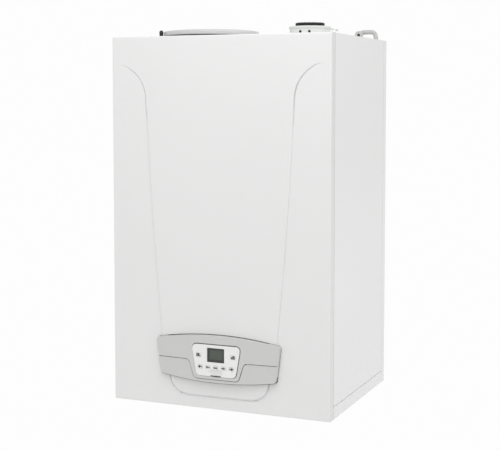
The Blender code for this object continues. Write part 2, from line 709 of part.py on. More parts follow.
def storage():
    """The insulated tank on its rails and the flat expansion vessel on a shelf above it."""
    top = TANK_TOP_Z
    foot = TANK_FOOT_Z
    dish = 0.034
    profile = [(TANK_RADIUS * math.sin(math.radians(a)), top - dish + dish * math.cos(math.radians(a)))
               for a in (0, 20, 40, 60, 75, 90)]
    profile += [(TANK_RADIUS * math.cos(math.radians(a)), foot + dish - (dish - 0.006) * math.sin(math.radians(a)))
                for a in (0, 20, 40)]
    ring = TANK_RADIUS - 0.043
    profile += [(ring, foot + 0.008), (ring, foot), (ring - 0.010, foot), (ring - 0.010, foot + 0.006),
                (0, foot + 0.006)]
    profile[0] = (0, top)
    tank = turned("storage_tank", profile, (TANK_X, TANK_Y, 0), finish=FOAM, steps=28)
    reach = TANK_SIDE_X - TANK_X
    for y, z in ((COIL_PORT_Y, RETURN_PORT_Z), (COIL_PORT_Y, FLOW_PORT_Z), (HOT_PORT_Y, HOT_PORT_Z),
                 (COLD_PORT_Y, COLD_PORT_Z)):
        fuse(tank, rod(f"port_{z}", (TANK_X + reach / 2, y, z), 0.011, reach, "X", sides=12))
    rails = []
    wall = -SHEET - GAP
    high = foot - GAP
    half_span = TANK_RADIUS - 0.070
    rail_front = TANK_Y - TANK_RADIUS + 0.028
    for x in (TANK_X - half_span, TANK_X + half_span):
        web = box(f"tank_rail_{x}", (x - 0.001, rail_front, foot - 0.03), (x + 0.001, wall, high), STEEL)
        fuse(web, box(f"rail_top_{x}", (x - 0.001, rail_front, high - 0.002), (x + 0.018, wall, high)))
        fuse(web, box(f"rail_end_{x}", (x - 0.001, wall - 0.002, foot - 0.05), (x + 0.018, wall, high)))
        rails.append(web)
    rails[0].name = "tank_frame"
    fuse(*rails)
    fuse(rails[0], box("frame_back", (TANK_X - half_span - 0.0005, wall - 0.0017, foot - 0.047),
                       (TANK_X + half_span + 0.0175, wall - 0.0003, foot - 0.020)))
    shelf_half = TANK_RADIUS - 0.028
    shelf = box("vessel_shelf", (TANK_X - shelf_half, rail_front + 0.010, SHELF_TOP - SHELF_SHEET),
                (TANK_X + shelf_half, wall, SHELF_TOP), STEEL)
    fuse(shelf, box("shelf_flange", (TANK_X - shelf_half, wall - SHELF_SHEET, SHELF_TOP - SHELF_SHEET),
                    (TANK_X + shelf_half, wall, SHELF_TOP + 0.03)))
    cut(shelf, rod("shelf_hole", (TANK_X, TANK_Y, SHELF_TOP), 0.045, 0.02))
    low = VESSEL_TOP_Z - VESSEL_HEIGHT
    rim = VESSEL_TOP_Z - 0.006
    vessel = turned("expansion_vessel", [
        (0, VESSEL_TOP_Z), (VESSEL_RADIUS - 0.060, VESSEL_TOP_Z - 0.001),
        (VESSEL_RADIUS - 0.018, VESSEL_TOP_Z - 0.003), (VESSEL_RADIUS - 0.006, rim),
        (VESSEL_RADIUS - 0.0015, rim - 0.001), (VESSEL_RADIUS, rim - 0.003), (VESSEL_RADIUS, rim - 0.012),
        (VESSEL_RADIUS - 0.002, rim - 0.014), (VESSEL_RADIUS - 0.002, low + 0.020),
        (VESSEL_RADIUS - 0.012, low + 0.006), (VESSEL_RADIUS - 0.035, low), (0, low)],
        (TANK_X, TANK_Y, 0), finish=VESSEL, steps=36)
    fuse(vessel, rod("valve_stem", (VALVE_X, VALVE_Y, HEIGHT - 0.012), 0.0038, 0.030, sides=10))
    inward = Vector((TANK_X - VALVE_X, TANK_Y - VALVE_Y, 0)).normalized()
    lug = rod("valve_lug", Vector((VALVE_X, VALVE_Y, HEIGHT - 0.024)) + inward * 0.011, 0.004, 0.030, "X", sides=8)
    lug.rotation_euler = (0, 0, VALVE_TURN)
    fuse(vessel, lug)
    base_z = HEIGHT + 0.0033
    cap = [(0, HEIGHT + 0.025), (0.0028, HEIGHT + 0.0242), (0.0049, HEIGHT + 0.0215), (0.0055, HEIGHT + 0.017),
           (0.0055, base_z), (0, base_z)]
    turned("charging_valve_cap", cap, (VALVE_X, VALVE_Y, 0), finish=BLACK, steps=20)


def flue():
    """The concentric flue connection above the case."""
    drum_neck = BURNER_Z + BURNER_RADIUS + 0.016
    pipe_in = FLUE_PIPE_RADIUS - FLUE_WALL
    top = HEIGHT + FLUE_TOP
    turned("flue_pipe", [(FLUE_PIPE_RADIUS, top), (FLUE_PIPE_RADIUS, drum_neck + GAP), (pipe_in, drum_neck + GAP),
                         (pipe_in, top)], (BURNER_X, FLUE_Y, 0), finish=ALLOY, steps=24)
    grip = FLUE_PIPE_RADIUS + GAP
    turned("flue_seal", [(SEAL_RADIUS - 0.001, top + 0.0023), (SEAL_RADIUS, top + 0.001), (SEAL_RADIUS, top - 0.012),
                         (grip, top - 0.012), (grip, top + GAP), (pipe_in, top + GAP), (pipe_in, top + 0.0023)],
           (BURNER_X, FLUE_Y, 0), finish=RUBBER, steps=24)
    lip = HEIGHT + COLLAR_TOP
    inner = COLLAR_RADIUS - COLLAR_WALL
    collar = turned("flue_collar", [(COLLAR_RADIUS - 0.0005, lip), (COLLAR_RADIUS, lip - 0.001), (COLLAR_RADIUS, lip - 0.006),
                           (COLLAR_RADIUS - 0.0012, lip - 0.0072), (COLLAR_RADIUS - 0.0012, HEIGHT + 0.005),
                           (COLLAR_RADIUS + 0.004, HEIGHT + 0.0042), (COLLAR_RADIUS + 0.004, HEIGHT + GAP),
                           (inner, HEIGHT + GAP), (inner, lip)], (BURNER_X, FLUE_Y, 0), finish=PALE, steps=32)
    for degrees in (-72, -60):
        turn = math.radians(degrees)
        where = (BURNER_X + COLLAR_RADIUS * math.cos(turn),
                 FLUE_Y + COLLAR_RADIUS * math.sin(turn), HEIGHT + 0.014)
        plug = rod(f"plug_{degrees}", where, 0.0032, 0.0036, "X", sides=8)
        plug.rotation_euler = (0, 0, turn)
        fuse(collar, plug)


def burner():
    """Heat exchanger drum, its door, the fan that feeds it and the gas train."""
    half = BURNER_LENGTH / 2
    drum = turned("heat_exchanger", [
        (0, half), (BURNER_RADIUS + 0.004, half), (BURNER_RADIUS + 0.004, half - 0.008), (BURNER_RADIUS, half - 0.010),
        (BURNER_RADIUS, 0.03), (BURNER_RADIUS + 0.002, 0.027), (BURNER_RADIUS, 0.024), (BURNER_RADIUS, -0.024),
        (BURNER_RADIUS + 0.002, -0.027), (BURNER_RADIUS, -0.03), (BURNER_RADIUS, 0.012 - half),
        (BURNER_RADIUS - 0.012, -half), (0, -half)], (BURNER_X, BURNER_Y, BURNER_Z), "Y", ALLOY, 24)
    neck = BURNER_RADIUS + 0.016
    fuse(drum, rod("neck", (BURNER_X, FLUE_Y, BURNER_Z + neck - 0.02), FLUE_PIPE_RADIUS + 0.003, 0.04, sides=24))
    for x in (-0.06, 0.06):
        for z in (-0.05, 0.05):
            back = -SHEET - GAP
            long = back + BURNER_BACK + 0.01
            fuse(drum, rod(f"post_{x}_{z}", (BURNER_X + x, back - long / 2, BURNER_Z + z), 0.007, long, "Y", sides=8))
    stub = BURNER_Z - BURNER_RADIUS - 0.010
    for x, y in ((FLOW_X, PORT_Y), (RETURN_X, PORT_Y), (DRAIN_X, DRAIN_Y)):
        fuse(drum, rod(f"stub_{x}", (x, y, stub + 0.03), 0.011, 0.06, sides=12))
    vent_top = BURNER_Z + BURNER_RADIUS + 0.035
    fuse(drum, rod("vent_stub", (VENT_X, PORT_Y, vent_top - 0.035), 0.007, 0.07, sides=10))
    turned("air_vent", [(0, vent_top + 0.045), (0.004, vent_top + 0.044), (0.004, vent_top + 0.036),
                        (0.014, vent_top + 0.033), (0.015, vent_top + 0.006), (0.009, vent_top + GAP),
                        (0, vent_top + GAP)], (VENT_X, PORT_Y, 0), finish=BRASS, steps=16)
    door_back = DRUM_FRONT - GAP
    door = turned("burner_door", [(0, 0.014), (0.040, 0.014), (0.048, 0.008), (0.086, 0.008), (0.088, 0.006),
                                  (0.088, 0), (0, 0)], (BURNER_X, door_back, BURNER_Z), "Y", ALLOY, 24)
    fan_top = FAN_Z + FAN_RADIUS + 0.004
    duct = tube("premix_duct", [(BURNER_X, DUCT_Y, fan_top + GAP), (BURNER_X, DUCT_Y, BURNER_Z),
                                (BURNER_X, door_back - 0.008, BURNER_Z)], 0.022, ALLOY, 0.026)
    fuse(door, duct)
    fuse(door, box("duct_flange", (BURNER_X - 0.026, DUCT_Y - 0.026, fan_top + GAP),
                   (BURNER_X + 0.026, DUCT_Y + 0.026, fan_top + 0.006)))
    for step in range(6):
        turn = math.radians(60 * step + 30)
        fuse(door, rod(f"door_nut_{step}", (BURNER_X + 0.076 * math.cos(turn), door_back - 0.010,
                                            BURNER_Z + 0.076 * math.sin(turn)), 0.006, 0.008, "Y", sides=6))
    ceramic = [(0, 0.034), (0.0025, 0.034), (0.0025, 0.026), (0.0055, 0.024), (0.0055, 0.006), (0.009, 0.005),
               (0.009, 0), (0, 0)]
    turned("ignition_electrode", ceramic, (BURNER_X + 0.048, door_back - 0.008 - GAP, BURNER_Z - 0.036), "Y", PALE, 12)
    fan(fan_top)
    gas()


def fan(top):
    """Spiral housing, bladed wheel, motor, gas and air mixer and the intake silencer."""
    half = FAN_WIDTH / 2
    back = DUCT_Y + half
    housing_body = rod("fan_housing", (FAN_X, DUCT_Y, FAN_Z), FAN_RADIUS, FAN_WIDTH, "Y", ALLOY, 28)
    fuse(housing_body, box("outlet", (BURNER_X - 0.022, DUCT_Y - half + 0.002, FAN_Z),
                           (BURNER_X + 0.022, DUCT_Y + half - 0.002, top)))
    wall = 0.003
    cut(housing_body, rod("fan_hollow", (FAN_X, DUCT_Y, FAN_Z), FAN_RADIUS - wall, FAN_WIDTH - 2 * wall, "Y", sides=28))
    cut(housing_body, box("outlet_hollow", (BURNER_X - 0.017, DUCT_Y - half + 0.006, FAN_Z),
                          (BURNER_X + 0.017, DUCT_Y + half - 0.006, top + OVER)))
    cut(housing_body, rod("fan_eye", (FAN_X, back, FAN_Z), 0.024, 0.02, "Y", sides=24))
    cut(housing_body, rod("shaft_hole", (FAN_X, DUCT_Y - half, FAN_Z), 0.0048, 0.02, "Y"))
    wheel_radius = FAN_RADIUS - wall - 0.007
    wheel = turned("fan_impeller", [(0, half - 0.0005), (0.004, half - 0.0005), (0.004, 0.016), (wheel_radius, 0.014),
                                    (wheel_radius, 0.012), (0.012, 0.012), (0.010, -0.004), (0, -0.004)],
                   (FAN_X, DUCT_Y, FAN_Z), "Y", ALLOY, 20)
    for step in range(BLADES):
        turn = 2 * math.pi * step / BLADES
        blade = box(f"blade_{step}", (-0.0115, -0.014, -0.0007), (0.0115, 0.012, 0.0007))
        blade.location = (FAN_X + (wheel_radius - 0.011) * math.cos(turn), DUCT_Y,
                          FAN_Z + (wheel_radius - 0.011) * math.sin(turn))
        blade.rotation_euler = (0, -turn + math.radians(38), 0)
        fuse(wheel, blade)
    front = DUCT_Y - half - GAP
    turned("fan_motor", [(0, 0.034), (0.030, 0.034), (0.034, 0.030), (0.034, 0.004), (0.040, 0.003), (0.040, 0),
                         (0, 0)], (FAN_X, front, FAN_Z), "Y", BLACK, 24)
    mixer_back = back + GAP
    mixer = turned("gas_air_mixer", [(0.031, 0), (0.031, -0.006), (0.026, -0.010), (0.026, -0.050), (0.031, -0.055),
                                     (0.031, -0.062), (0.022, -0.062), (0.013, -0.035), (0.015, -0.015), (0.021, 0)],
                   (FAN_X, mixer_back, FAN_Z), "Y", BLACK, 20)
    fuse(mixer, rod("gas_inlet", (FAN_X + 0.032, MIXER_Y, FAN_Z), 0.011, 0.020, "X", sides=12))
    silencer_front = mixer_back + 0.062 + GAP
    silencer = box("air_silencer", (BURNER_X - 0.035, silencer_front, FAN_Z - 0.040),
                   (FAN_X + 0.035, SILENCER_BACK, FAN_Z + 0.040), BLACK, 0.006)
    cut(silencer, box("silencer_hollow", (BURNER_X - 0.031, silencer_front + 0.004, FAN_Z - 0.036),
                      (FAN_X + 0.031, SILENCER_BACK - 0.004, FAN_Z + 0.036)))
    cut(silencer, rod("silencer_throat", (FAN_X, silencer_front, FAN_Z), 0.021, 0.02, "Y", sides=28))
    inset = (SILENCER_BACK - silencer_front) * 0.27
    cut(silencer, box("intake_mouth", (BURNER_X - 0.025, silencer_front + inset, FAN_Z + 0.02),
                      (BURNER_X + 0.015, SILENCER_BACK - inset, FAN_Z + 0.06)))


def gas():
    """Gas valve block with its two coils and the pipes to and from it."""
    low, high = GAS_VALVE_Z - 0.04, GAS_VALVE_Z + 0.04
    valve = box("gas_valve", (GAS_X - 0.022, GAS_Y - 0.030, low), (GAS_X + 0.022, GAS_Y + 0.030, high), ALLOY, 0.003)
    for z in (-0.02, 0.02):
        fuse(valve, rod(f"coil_{z}", (GAS_X, GAS_Y - 0.045, GAS_VALVE_Z + z), 0.015, 0.034, "Y", sides=16))
    run = GAS_RUN_Z
    supply = tube("gas_pipe", [(0, -CONNECTOR_BACK, CONNECTOR_TOP + GAP), (0, -CONNECTOR_BACK, run),
                               (0, GAS_RUN_Y, run), (GAS_X, GAS_RUN_Y, run), (GAS_X, GAS_Y, run),
                               (GAS_X, GAS_Y, low - GAP)], PIPE_RADIUS, STEEL, 0.014)
    tube("mixer_gas_pipe", [(GAS_X, MIXER_Y, high + GAP), (GAS_X, MIXER_Y, FAN_Z),
                            (FAN_X + 0.042 + GAP, MIXER_Y, FAN_Z)], PIPE_RADIUS, STEEL, 0.016)
    fuse(supply, *connector("gas", 0))


def hydraulics():
    """Pump, three-way valve, pipes, trap, taps, gauge and the connectors in the bottom tray."""
    start = CONNECTOR_TOP + GAP
    y0 = -CONNECTOR_BACK
    stub = BURNER_Z - BURNER_RADIUS - 0.010 - GAP
    pitch = CONNECTOR_PITCH
    tank_end = TANK_SIDE_X + GAP
    flow_run = FLOW_X - 0.080
    flow = tube("flow_pipe", [(FLOW_X, PORT_Y, stub), (FLOW_X, PORT_Y, 0.33), (flow_run, -0.100, 0.33),
                              (flow_run, -0.100, 0.10), (-2 * pitch, -0.100, 0.10), (-2 * pitch, y0, 0.10),
                              (-2 * pitch, y0, start)], PIPE_RADIUS, COPPER, 0.018)
    fuse(flow, *connector("flow", -2 * pitch))
    bend_x = FLOW_X - 0.060
    tube("tank_flow_pipe", [(FLOW_X - PIPE_RADIUS - GAP, PORT_Y, FLOW_PORT_Z), (bend_x, PORT_Y, FLOW_PORT_Z),
                            (bend_x, COIL_PORT_Y, FLOW_PORT_Z), (tank_end, COIL_PORT_Y, FLOW_PORT_Z)],
         THIN_PIPE_RADIUS, COPPER, 0.014)
    valve_left = PUMP_X - 0.015
    tube("tank_return_pipe", [(tank_end, COIL_PORT_Y, RETURN_PORT_Z), (RISER_X, COIL_PORT_Y, RETURN_PORT_Z),
                              (RISER_X, COIL_PORT_Y, THREE_WAY_Z), (RISER_X, PORT_Y, THREE_WAY_Z),
                              (valve_left - GAP, PORT_Y, THREE_WAY_Z)], THIN_PIPE_RADIUS, COPPER, 0.010)
    hot = tube("hot_water_pipe", [(tank_end, HOT_PORT_Y, HOT_PORT_Z), (RISER_X, HOT_PORT_Y, HOT_PORT_Z),
                                  (RISER_X, HOT_PORT_Y, 0.13), (-pitch, HOT_PORT_Y, 0.13), (-pitch, y0, 0.13),
                                  (-pitch, y0, start)], THIN_PIPE_RADIUS, COPPER, 0.010)
    fuse(hot, *connector("hot", -pitch))
    cold = tube("cold_water_pipe", [(pitch, y0, start), (pitch, y0, 0.098), (pitch, COLD_PORT_Y, 0.098),
                                    (pitch, COLD_PORT_Y, COLD_PORT_Z), (tank_end, COLD_PORT_Y, COLD_PORT_Z)],
                THIN_PIPE_RADIUS, COPPER, 0.014)
    fuse(cold, *connector("cold", pitch))
    pump = rod("pump_body", (PUMP_X, PORT_Y, PUMP_Z), 0.045, 0.050, "Y", BLACK, 28)
    fuse(pump, rod("pump_outlet", (PUMP_X + 0.05, PORT_Y, PUMP_Z), 0.013, 0.03, "X", sides=20))
    turned("pump_motor", [(0, 0.072), (0.020, 0.072), (0.038, 0.068), (0.041, 0.060), (0.041, 0.006), (0.044, 0.004),
                          (0.044, 0), (0, 0)], (PUMP_X, PORT_Y - 0.025 - GAP, PUMP_Z), "Y", ALLOY, 24)
    tube("return_pipe", [(RETURN_X, PORT_Y, stub), (RETURN_X, PORT_Y, PUMP_Z), (PUMP_X + 0.065 + GAP, PORT_Y, PUMP_Z)],
         PIPE_RADIUS, COPPER, 0.018)
    valve = rod("three_way_valve", (PUMP_X + 0.02, PORT_Y, THREE_WAY_Z), 0.020, 0.070, "X", BRASS, 20)
    pump_low = PUMP_Z - 0.045
    fuse(valve, rod("valve_riser", (PUMP_X, PORT_Y, (THREE_WAY_Z + pump_low - GAP) / 2), 0.012,
                    pump_low - GAP - THREE_WAY_Z, sides=20))
    return_x = RETURN_END_X
    fuse(valve, rod("valve_foot", (return_x, y0, (THREE_WAY_Z + 0.085) / 2), 0.010, THREE_WAY_Z - 0.085, sides=20))
    fuse(valve, box("valve_outlet", (PUMP_X + 0.045, y0 - 0.02, THREE_WAY_Z - 0.010),
                    (return_x + 0.010, y0 + 0.008, THREE_WAY_Z + 0.010)))
    heating = tube("heating_return_pipe", [(return_x, y0, start), (return_x, y0, 0.085 - GAP)], PIPE_RADIUS, COPPER)
    fuse(heating, *connector("heating_return", return_x))
    valve_right = PUMP_X + 0.055
    box("valve_actuator", (valve_right + GAP, PORT_Y - 0.016, THREE_WAY_Z - 0.016),
        (valve_right + 0.040, PORT_Y + 0.016, THREE_WAY_Z + 0.030), BLACK, 0.003)
    trap_top = 0.300
    trap = turned("condensate_trap", [(0, trap_top), (0.014, trap_top), (0.014, trap_top - 0.014), (0.028, trap_top - 0.018),
                                      (0.028, 0.150), (0.020, 0.132), (0.010, 0.128), (0.010, 0.112), (0, 0.112)],
                  (DRAIN_X, DRAIN_Y, 0), finish=PALE, steps=20)
    fuse(trap, box("trap_bracket", (DRAIN_X - 0.012, DRAIN_Y + 0.020, 0.205), (DRAIN_X + 0.012, -SHEET - GAP, 0.209)))
    fuse(trap, tube("condensate_pipe", [(DRAIN_X, DRAIN_Y, stub), (DRAIN_X, DRAIN_Y, trap_top - 0.002)], 0.009, BLACK))
    small_fittings()


def connector(name, x):
    """A pipe's end in the bottom tray: a sleeve and the hexagon it is tightened by."""
    y = -CONNECTOR_BACK
    low = 0.001
    sleeve = rod(f"{name}_sleeve", (x, y, (low + CONNECTOR_TOP + 0.002) / 2), CONNECTOR_RADIUS - 0.001,
                 CONNECTOR_TOP + 0.002 - low, sides=16)
    cut(sleeve, rod(f"{name}_bore", (x, y, 0), 0.007, 0.05, sides=12))
    hexagon = rod(f"{name}_hexagon", (x, y, TRAY_TOP + 0.009), CONNECTOR_RADIUS + 0.005, 0.018, sides=6)
    cut(hexagon, rod(f"{name}_hexagon_bore", (x, y, 0), 0.007, 0.05, sides=12))
    return sleeve, hexagon


def small_fittings():
    """Safety valve, pressure gauge and filling tap, which stand on the bottom tray."""
    x, y = SAFETY_X, -CONNECTOR_BACK
    valve = turned("safety_valve", [(0, 0.105), (0.012, 0.105), (0.014, 0.100), (0.014, 0.030), (0.018, 0.028),
                                    (0.018, TRAY_TOP), (0, TRAY_TOP)], (x, y, 0), finish=BRASS, steps=20)
    fuse(valve, rod("safety_bonnet", (x, y - 0.020, 0.080), 0.011, 0.030, "Y", sides=20))
    knob_y = y - 0.035 - GAP
    knob = turned("safety_valve_knob", [(0, 0.020), (0.013, 0.020), (0.015, 0.018), (0.016, 0), (0, 0)],
                  (x, knob_y, 0.080), "Y", RUBBER, 20)
    for step in range(6):
        turn = math.radians(60 * step)
        cut(knob, rod(f"grip_{step}", (x + 0.018 * math.cos(turn), knob_y - 0.010, 0.080 + 0.018 * math.sin(turn)),
                      0.004, 0.03, "Y", sides=10))
    gauge = turned("pressure_gauge", [(0, 0.020), (0.021, 0.020), (0.021, 0.022), (0.024, 0.022), (0.024, 0), (0, 0)],
                   (GAUGE_X, GAUGE_Y, GAUGE_Z), "Y", BLACK, 24)
    fuse(gauge, rod("gauge_stem", (GAUGE_X, GAUGE_Y - 0.010, (TRAY_TOP + 0.045) / 2), 0.006, 0.045 - TRAY_TOP, sides=16))
    tap = turned("filling_tap", [(0, 0.088), (0.005, 0.088), (0.005, 0.070), (0.010, 0.068), (0.012, 0.020), (0.016, 0.018),
                                 (0.016, TRAY_TOP), (0, TRAY_TOP)], (TAP_X, -CONNECTOR_BACK, 0), finish=BRASS, steps=20)
    fuse(tap, rod("tap_spout", (TAP_X, -CONNECTOR_BACK - 0.018, 0.045), 0.007, 0.03, "Y", sides=16))
    lever = box("filling_tap_lever", (TAP_X - 0.007, -CONNECTOR_BACK - 0.034, 0.088 + GAP),
                (TAP_X + 0.007, -CONNECTOR_BACK + 0.010, 0.096), TAP, 0.002)
    lever.data.transform(Matrix.Translation((0, lever.location.y + CONNECTOR_BACK, 0)))
    lever.location.y = -CONNECTOR_BACK


case()
hangers()
control_unit()
storage()
flue()
burner()
hydraulics()
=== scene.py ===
import json
import math

import bmesh
import bpy
import numpy as np
from mathutils import Matrix, Vector


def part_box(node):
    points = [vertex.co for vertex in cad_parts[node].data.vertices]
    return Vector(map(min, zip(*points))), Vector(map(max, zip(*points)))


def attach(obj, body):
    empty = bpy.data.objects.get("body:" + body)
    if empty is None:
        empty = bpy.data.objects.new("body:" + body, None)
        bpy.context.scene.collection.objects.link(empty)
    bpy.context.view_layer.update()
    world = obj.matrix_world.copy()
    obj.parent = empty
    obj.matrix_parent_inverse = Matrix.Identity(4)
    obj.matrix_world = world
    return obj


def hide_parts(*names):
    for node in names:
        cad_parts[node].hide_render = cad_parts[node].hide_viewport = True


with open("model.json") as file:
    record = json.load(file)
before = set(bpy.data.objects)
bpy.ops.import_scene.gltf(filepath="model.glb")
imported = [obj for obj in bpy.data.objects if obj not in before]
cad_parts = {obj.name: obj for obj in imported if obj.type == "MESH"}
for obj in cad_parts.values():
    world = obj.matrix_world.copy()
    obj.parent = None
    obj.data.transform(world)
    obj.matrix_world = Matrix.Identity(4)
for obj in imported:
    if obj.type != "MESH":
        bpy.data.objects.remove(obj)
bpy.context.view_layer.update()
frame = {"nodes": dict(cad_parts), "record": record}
nodes = frame["nodes"]
print("frame loaded")

# Places that several pieces share, read from the fixed frame
caseLow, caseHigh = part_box("back_plate")
frontLow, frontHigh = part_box("front_panel")
halfWidth = caseHigh.x
footZ, topZ = caseLow.z, caseHigh.z
caseHeight = topZ - footZ
frontY = frontLow.y


def middleOf(name):
    low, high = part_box(name)
    return (low + high) / 2


tankCentre = (middleOf("expansion_vessel").x, middleOf("storage_tank").y, 0)


# Shader groups

def newGroup(name, inputs, outputs):
    group = bpy.data.node_groups.new(name, "ShaderNodeTree")
    for way, sockets in (("INPUT", inputs), ("OUTPUT", outputs)):
        for label, kind in sockets.items():
            group.interface.new_socket(label, in_out=way, socket_type="NodeSocket" + kind)
    return group, group.nodes.new("NodeGroupInput"), group.nodes.new("NodeGroupOutput")


def setInputs(node, values):
    for label, value in values.items():
        node.inputs[label].default_value = value


def addNode(tree, kind, inputs=None, **settings):
    made = tree.nodes.new("ShaderNode" + kind)
    for name, value in settings.items():
        setattr(made, name, value)
    setInputs(made, inputs or {})
    return made


# Joins sockets, each pair given as (node, output, node, input)
def joinUp(tree, *joins):
    for source, output, target, entry in joins:
        tree.links.new(source.outputs[output], target.inputs[entry])


def driftGroup():
    inputs = {"Color": "Color", "Second": "Color", "Scale": "Float", "Low Roughness": "Float",
              "High Roughness": "Float"}
    group, start, end = newGroup("colourDrift", inputs, {"Color": "Color", "Roughness": "Float"})
    place = addNode(group, "TexCoord")
    noise = addNode(group, "TexNoise", {"Detail": 5})
    mix = addNode(group, "Mix", data_type="RGBA")
    spread = addNode(group, "MapRange", {"From Min": 0.3, "From Max": 0.7})
    joinUp(group, (place, "Object", noise, "Vector"), (start, "Scale", noise, "Scale"),
           (noise, "Fac", mix, "Factor"), (start, "Color", mix, "A"), (start, "Second", mix, "B"),
           (noise, "Fac", spread, "Value"), (start, "Low Roughness", spread, "To Min"),
           (start, "High Roughness", spread, "To Max"), (mix, "Result", end, "Color"),
           (spread, "Result", end, "Roughness"))
    return group


def grainGroup():
    inputs = {"Scale": "Float", "Stretch": "Vector", "Strength": "Float"}
    group, start, end = newGroup("fineGrain", inputs, {"Normal": "Vector"})
    place = addNode(group, "TexCoord")
    stretch = addNode(group, "Mapping")
    noise = addNode(group, "TexNoise", {"Detail": 3})
    bump = addNode(group, "Bump", {"Distance": 0.0002})
    joinUp(group, (place, "Object", stretch, "Vector"), (start, "Stretch", stretch, "Scale"),
           (stretch, "Vector", noise, "Vector"), (start, "Scale", noise, "Scale"),
           (noise, "Fac", bump, "Height"), (start, "Strength", bump, "Strength"),
           (bump, "Normal", end, "Normal"))
    return group


def wearGroup():
    inputs = {"Color": "Color", "Edge Color": "Color", "Amount": "Float"}
    group, start, end = newGroup("edgeWear", inputs, {"Color": "Color"})
    shape = addNode(group, "NewGeometry")
    place = addNode(group, "TexCoord")
    noise = addNode(group, "TexNoise", {"Scale": 60})
    sharp = addNode(group, "MapRange", {"From Min": 0.5, "From Max": 0.58})
    product = addNode(group, "Math", operation="MULTIPLY")
    scaled = addNode(group, "Math", operation="MULTIPLY", use_clamp=True)
    mix = addNode(group, "Mix", data_type="RGBA")
    joinUp(group, (place, "Object", noise, "Vector"), (shape, "Pointiness", sharp, "Value"),
           (sharp, "Result", product, 0), (noise, "Fac", product, 1), (product, "Value", scaled, 0),
           (start, "Amount", scaled, 1), (scaled, "Value", mix, "Factor"),
           (start, "Color", mix, "A"), (start, "Edge Color", mix, "B"), (mix, "Result", end, "Color"))
    return group


colourDrift = driftGroup()
fineGrain = grainGroup()
edgeWear = wearGroup()


def finish(name, colour, second, rough, grain, drift=7, metal=0, stretch=(1, 1, 1), coat=0, wear=0,
           edge=(0.85, 0.85, 0.85)):
    made = bpy.data.materials.new(name)
    made.use_nodes = True
    tree = made.node_tree
    shader = tree.nodes["Principled BSDF"]
    setInputs(shader, {"Metallic": metal, "Coat Weight": coat, "Coat Roughness": 0.12})
    shades = {"Color": (*colour, 1), "Second": (*second, 1), "Scale": drift, "Low Roughness": rough[0],
              "High Roughness": rough[1]}
    drifting = addNode(tree, "Group", shades, node_tree=colourDrift)
    relief = {"Scale": grain[0], "Strength": grain[1], "Stretch": stretch}
    grained = addNode(tree, "Group", relief, node_tree=fineGrain)
    coloured = drifting
    if wear:
        coloured = addNode(tree, "Group", {"Amount": wear, "Edge Color": (*edge, 1)}, node_tree=edgeWear)
        joinUp(tree, (drifting, "Color", coloured, "Color"))
    joinUp(tree, (coloured, "Color", shader, "Base Color"), (drifting, "Roughness", shader, "Roughness"),
           (grained, "Normal", shader, "Normal"))
    return made


enamel = finish("whiteEnamel", (0.838, 0.84, 0.84), (0.813, 0.815, 0.815), (0.3, 0.38), (420, 0.05), 3)
# A darker copy of the white enamel for the front panel's side returns: painted shade on the folds
shadedReturnEnamel = finish("shadedReturnEnamel", (0.755, 0.76, 0.757), (0.735, 0.74, 0.737), (0.34, 0.42), (420, 0.05), 3)
sideEnamel = finish("sideEnamel", (0.834, 0.843, 0.839), (0.814, 0.823, 0.819), (0.34, 0.42), (420, 0.05), 3)
fasciaGrey = finish("fasciaGrey", (0.635, 0.64, 0.625), (0.62, 0.625, 0.61), (0.36, 0.44), (1500, 0.12), 5)
plateWhite = finish("plateWhite", (0.89, 0.89, 0.885), (0.87, 0.87, 0.865), (0.32, 0.4), (1500, 0.08))
keyWhite = finish("keyWhite", (0.84, 0.84, 0.83), (0.82, 0.82, 0.81), (0.45, 0.55), (1800, 0.1))
symbolInk = finish("symbolInk", (0.03, 0.031, 0.032), (0.045, 0.045, 0.046), (0.4, 0.5), (2000, 0.05))
blackPlastic = finish("blackPlastic", (0.009, 0.009, 0.01), (0.014, 0.014, 0.015), (0.38, 0.5), (1200, 0.18),
                      wear=0.3, edge=(0.09, 0.09, 0.09))
bezelBlack = finish("bezelBlack", (0.01, 0.011, 0.012), (0.014, 0.015, 0.016), (0.12, 0.18), (1500, 0.02),
                    coat=0.5)
screenGlass = finish("screenGlass", (0.05, 0.064, 0.048), (0.06, 0.074, 0.058), (0.16, 0.22), (900, 0.01),
                     18, coat=0.2)
zinc = finish("zincPlate", (0.56, 0.57, 0.575), (0.48, 0.49, 0.5), (0.3, 0.46), (600, 0.12), 22,
              metal=0.85, stretch=(1, 1, 0.08), wear=0.4)
castAlloy = finish("castAlloy", (0.6, 0.6, 0.595), (0.5, 0.5, 0.5), (0.42, 0.6), (380, 0.45), 16,
                   metal=0.75, wear=0.5)
copper = finish("copperTube", (0.72, 0.39, 0.25), (0.56, 0.3, 0.19), (0.2, 0.38), (500, 0.08), 14,
                metal=1, stretch=(1, 1, 0.1))
brass = finish("machinedBrass", (0.74, 0.57, 0.29), (0.62, 0.46, 0.22), (0.24, 0.4), (800, 0.12),
               metal=1, wear=0.3, edge=(0.9, 0.75, 0.45))
sealRubber = finish("sealRubber", (0.01, 0.01, 0.011), (0.018, 0.018, 0.019), (0.6, 0.75), (700, 0.2))
jacketFoam = finish("jacketFoam", (0.2, 0.215, 0.235), (0.15, 0.16, 0.18), (0.75, 0.9), (260, 0.6), 9)
boardGreen = finish("boardGreen", (0.04, 0.2, 0.09), (0.02, 0.12, 0.05), (0.25, 0.4), (500, 0.2), 90)
tapBlue = finish("tapBlue", (0.04, 0.14, 0.42), (0.03, 0.11, 0.36), (0.3, 0.42), (900, 0.1))
vesselGrey = finish("vesselGrey", (0.63, 0.63, 0.63), (0.585, 0.585, 0.585), (0.32, 0.44), (380, 0.1), 8,
                    coat=0.2)
collarPale = finish("collarPale", (0.74, 0.745, 0.735), (0.71, 0.715, 0.7), (0.34, 0.44), (900, 0.08))
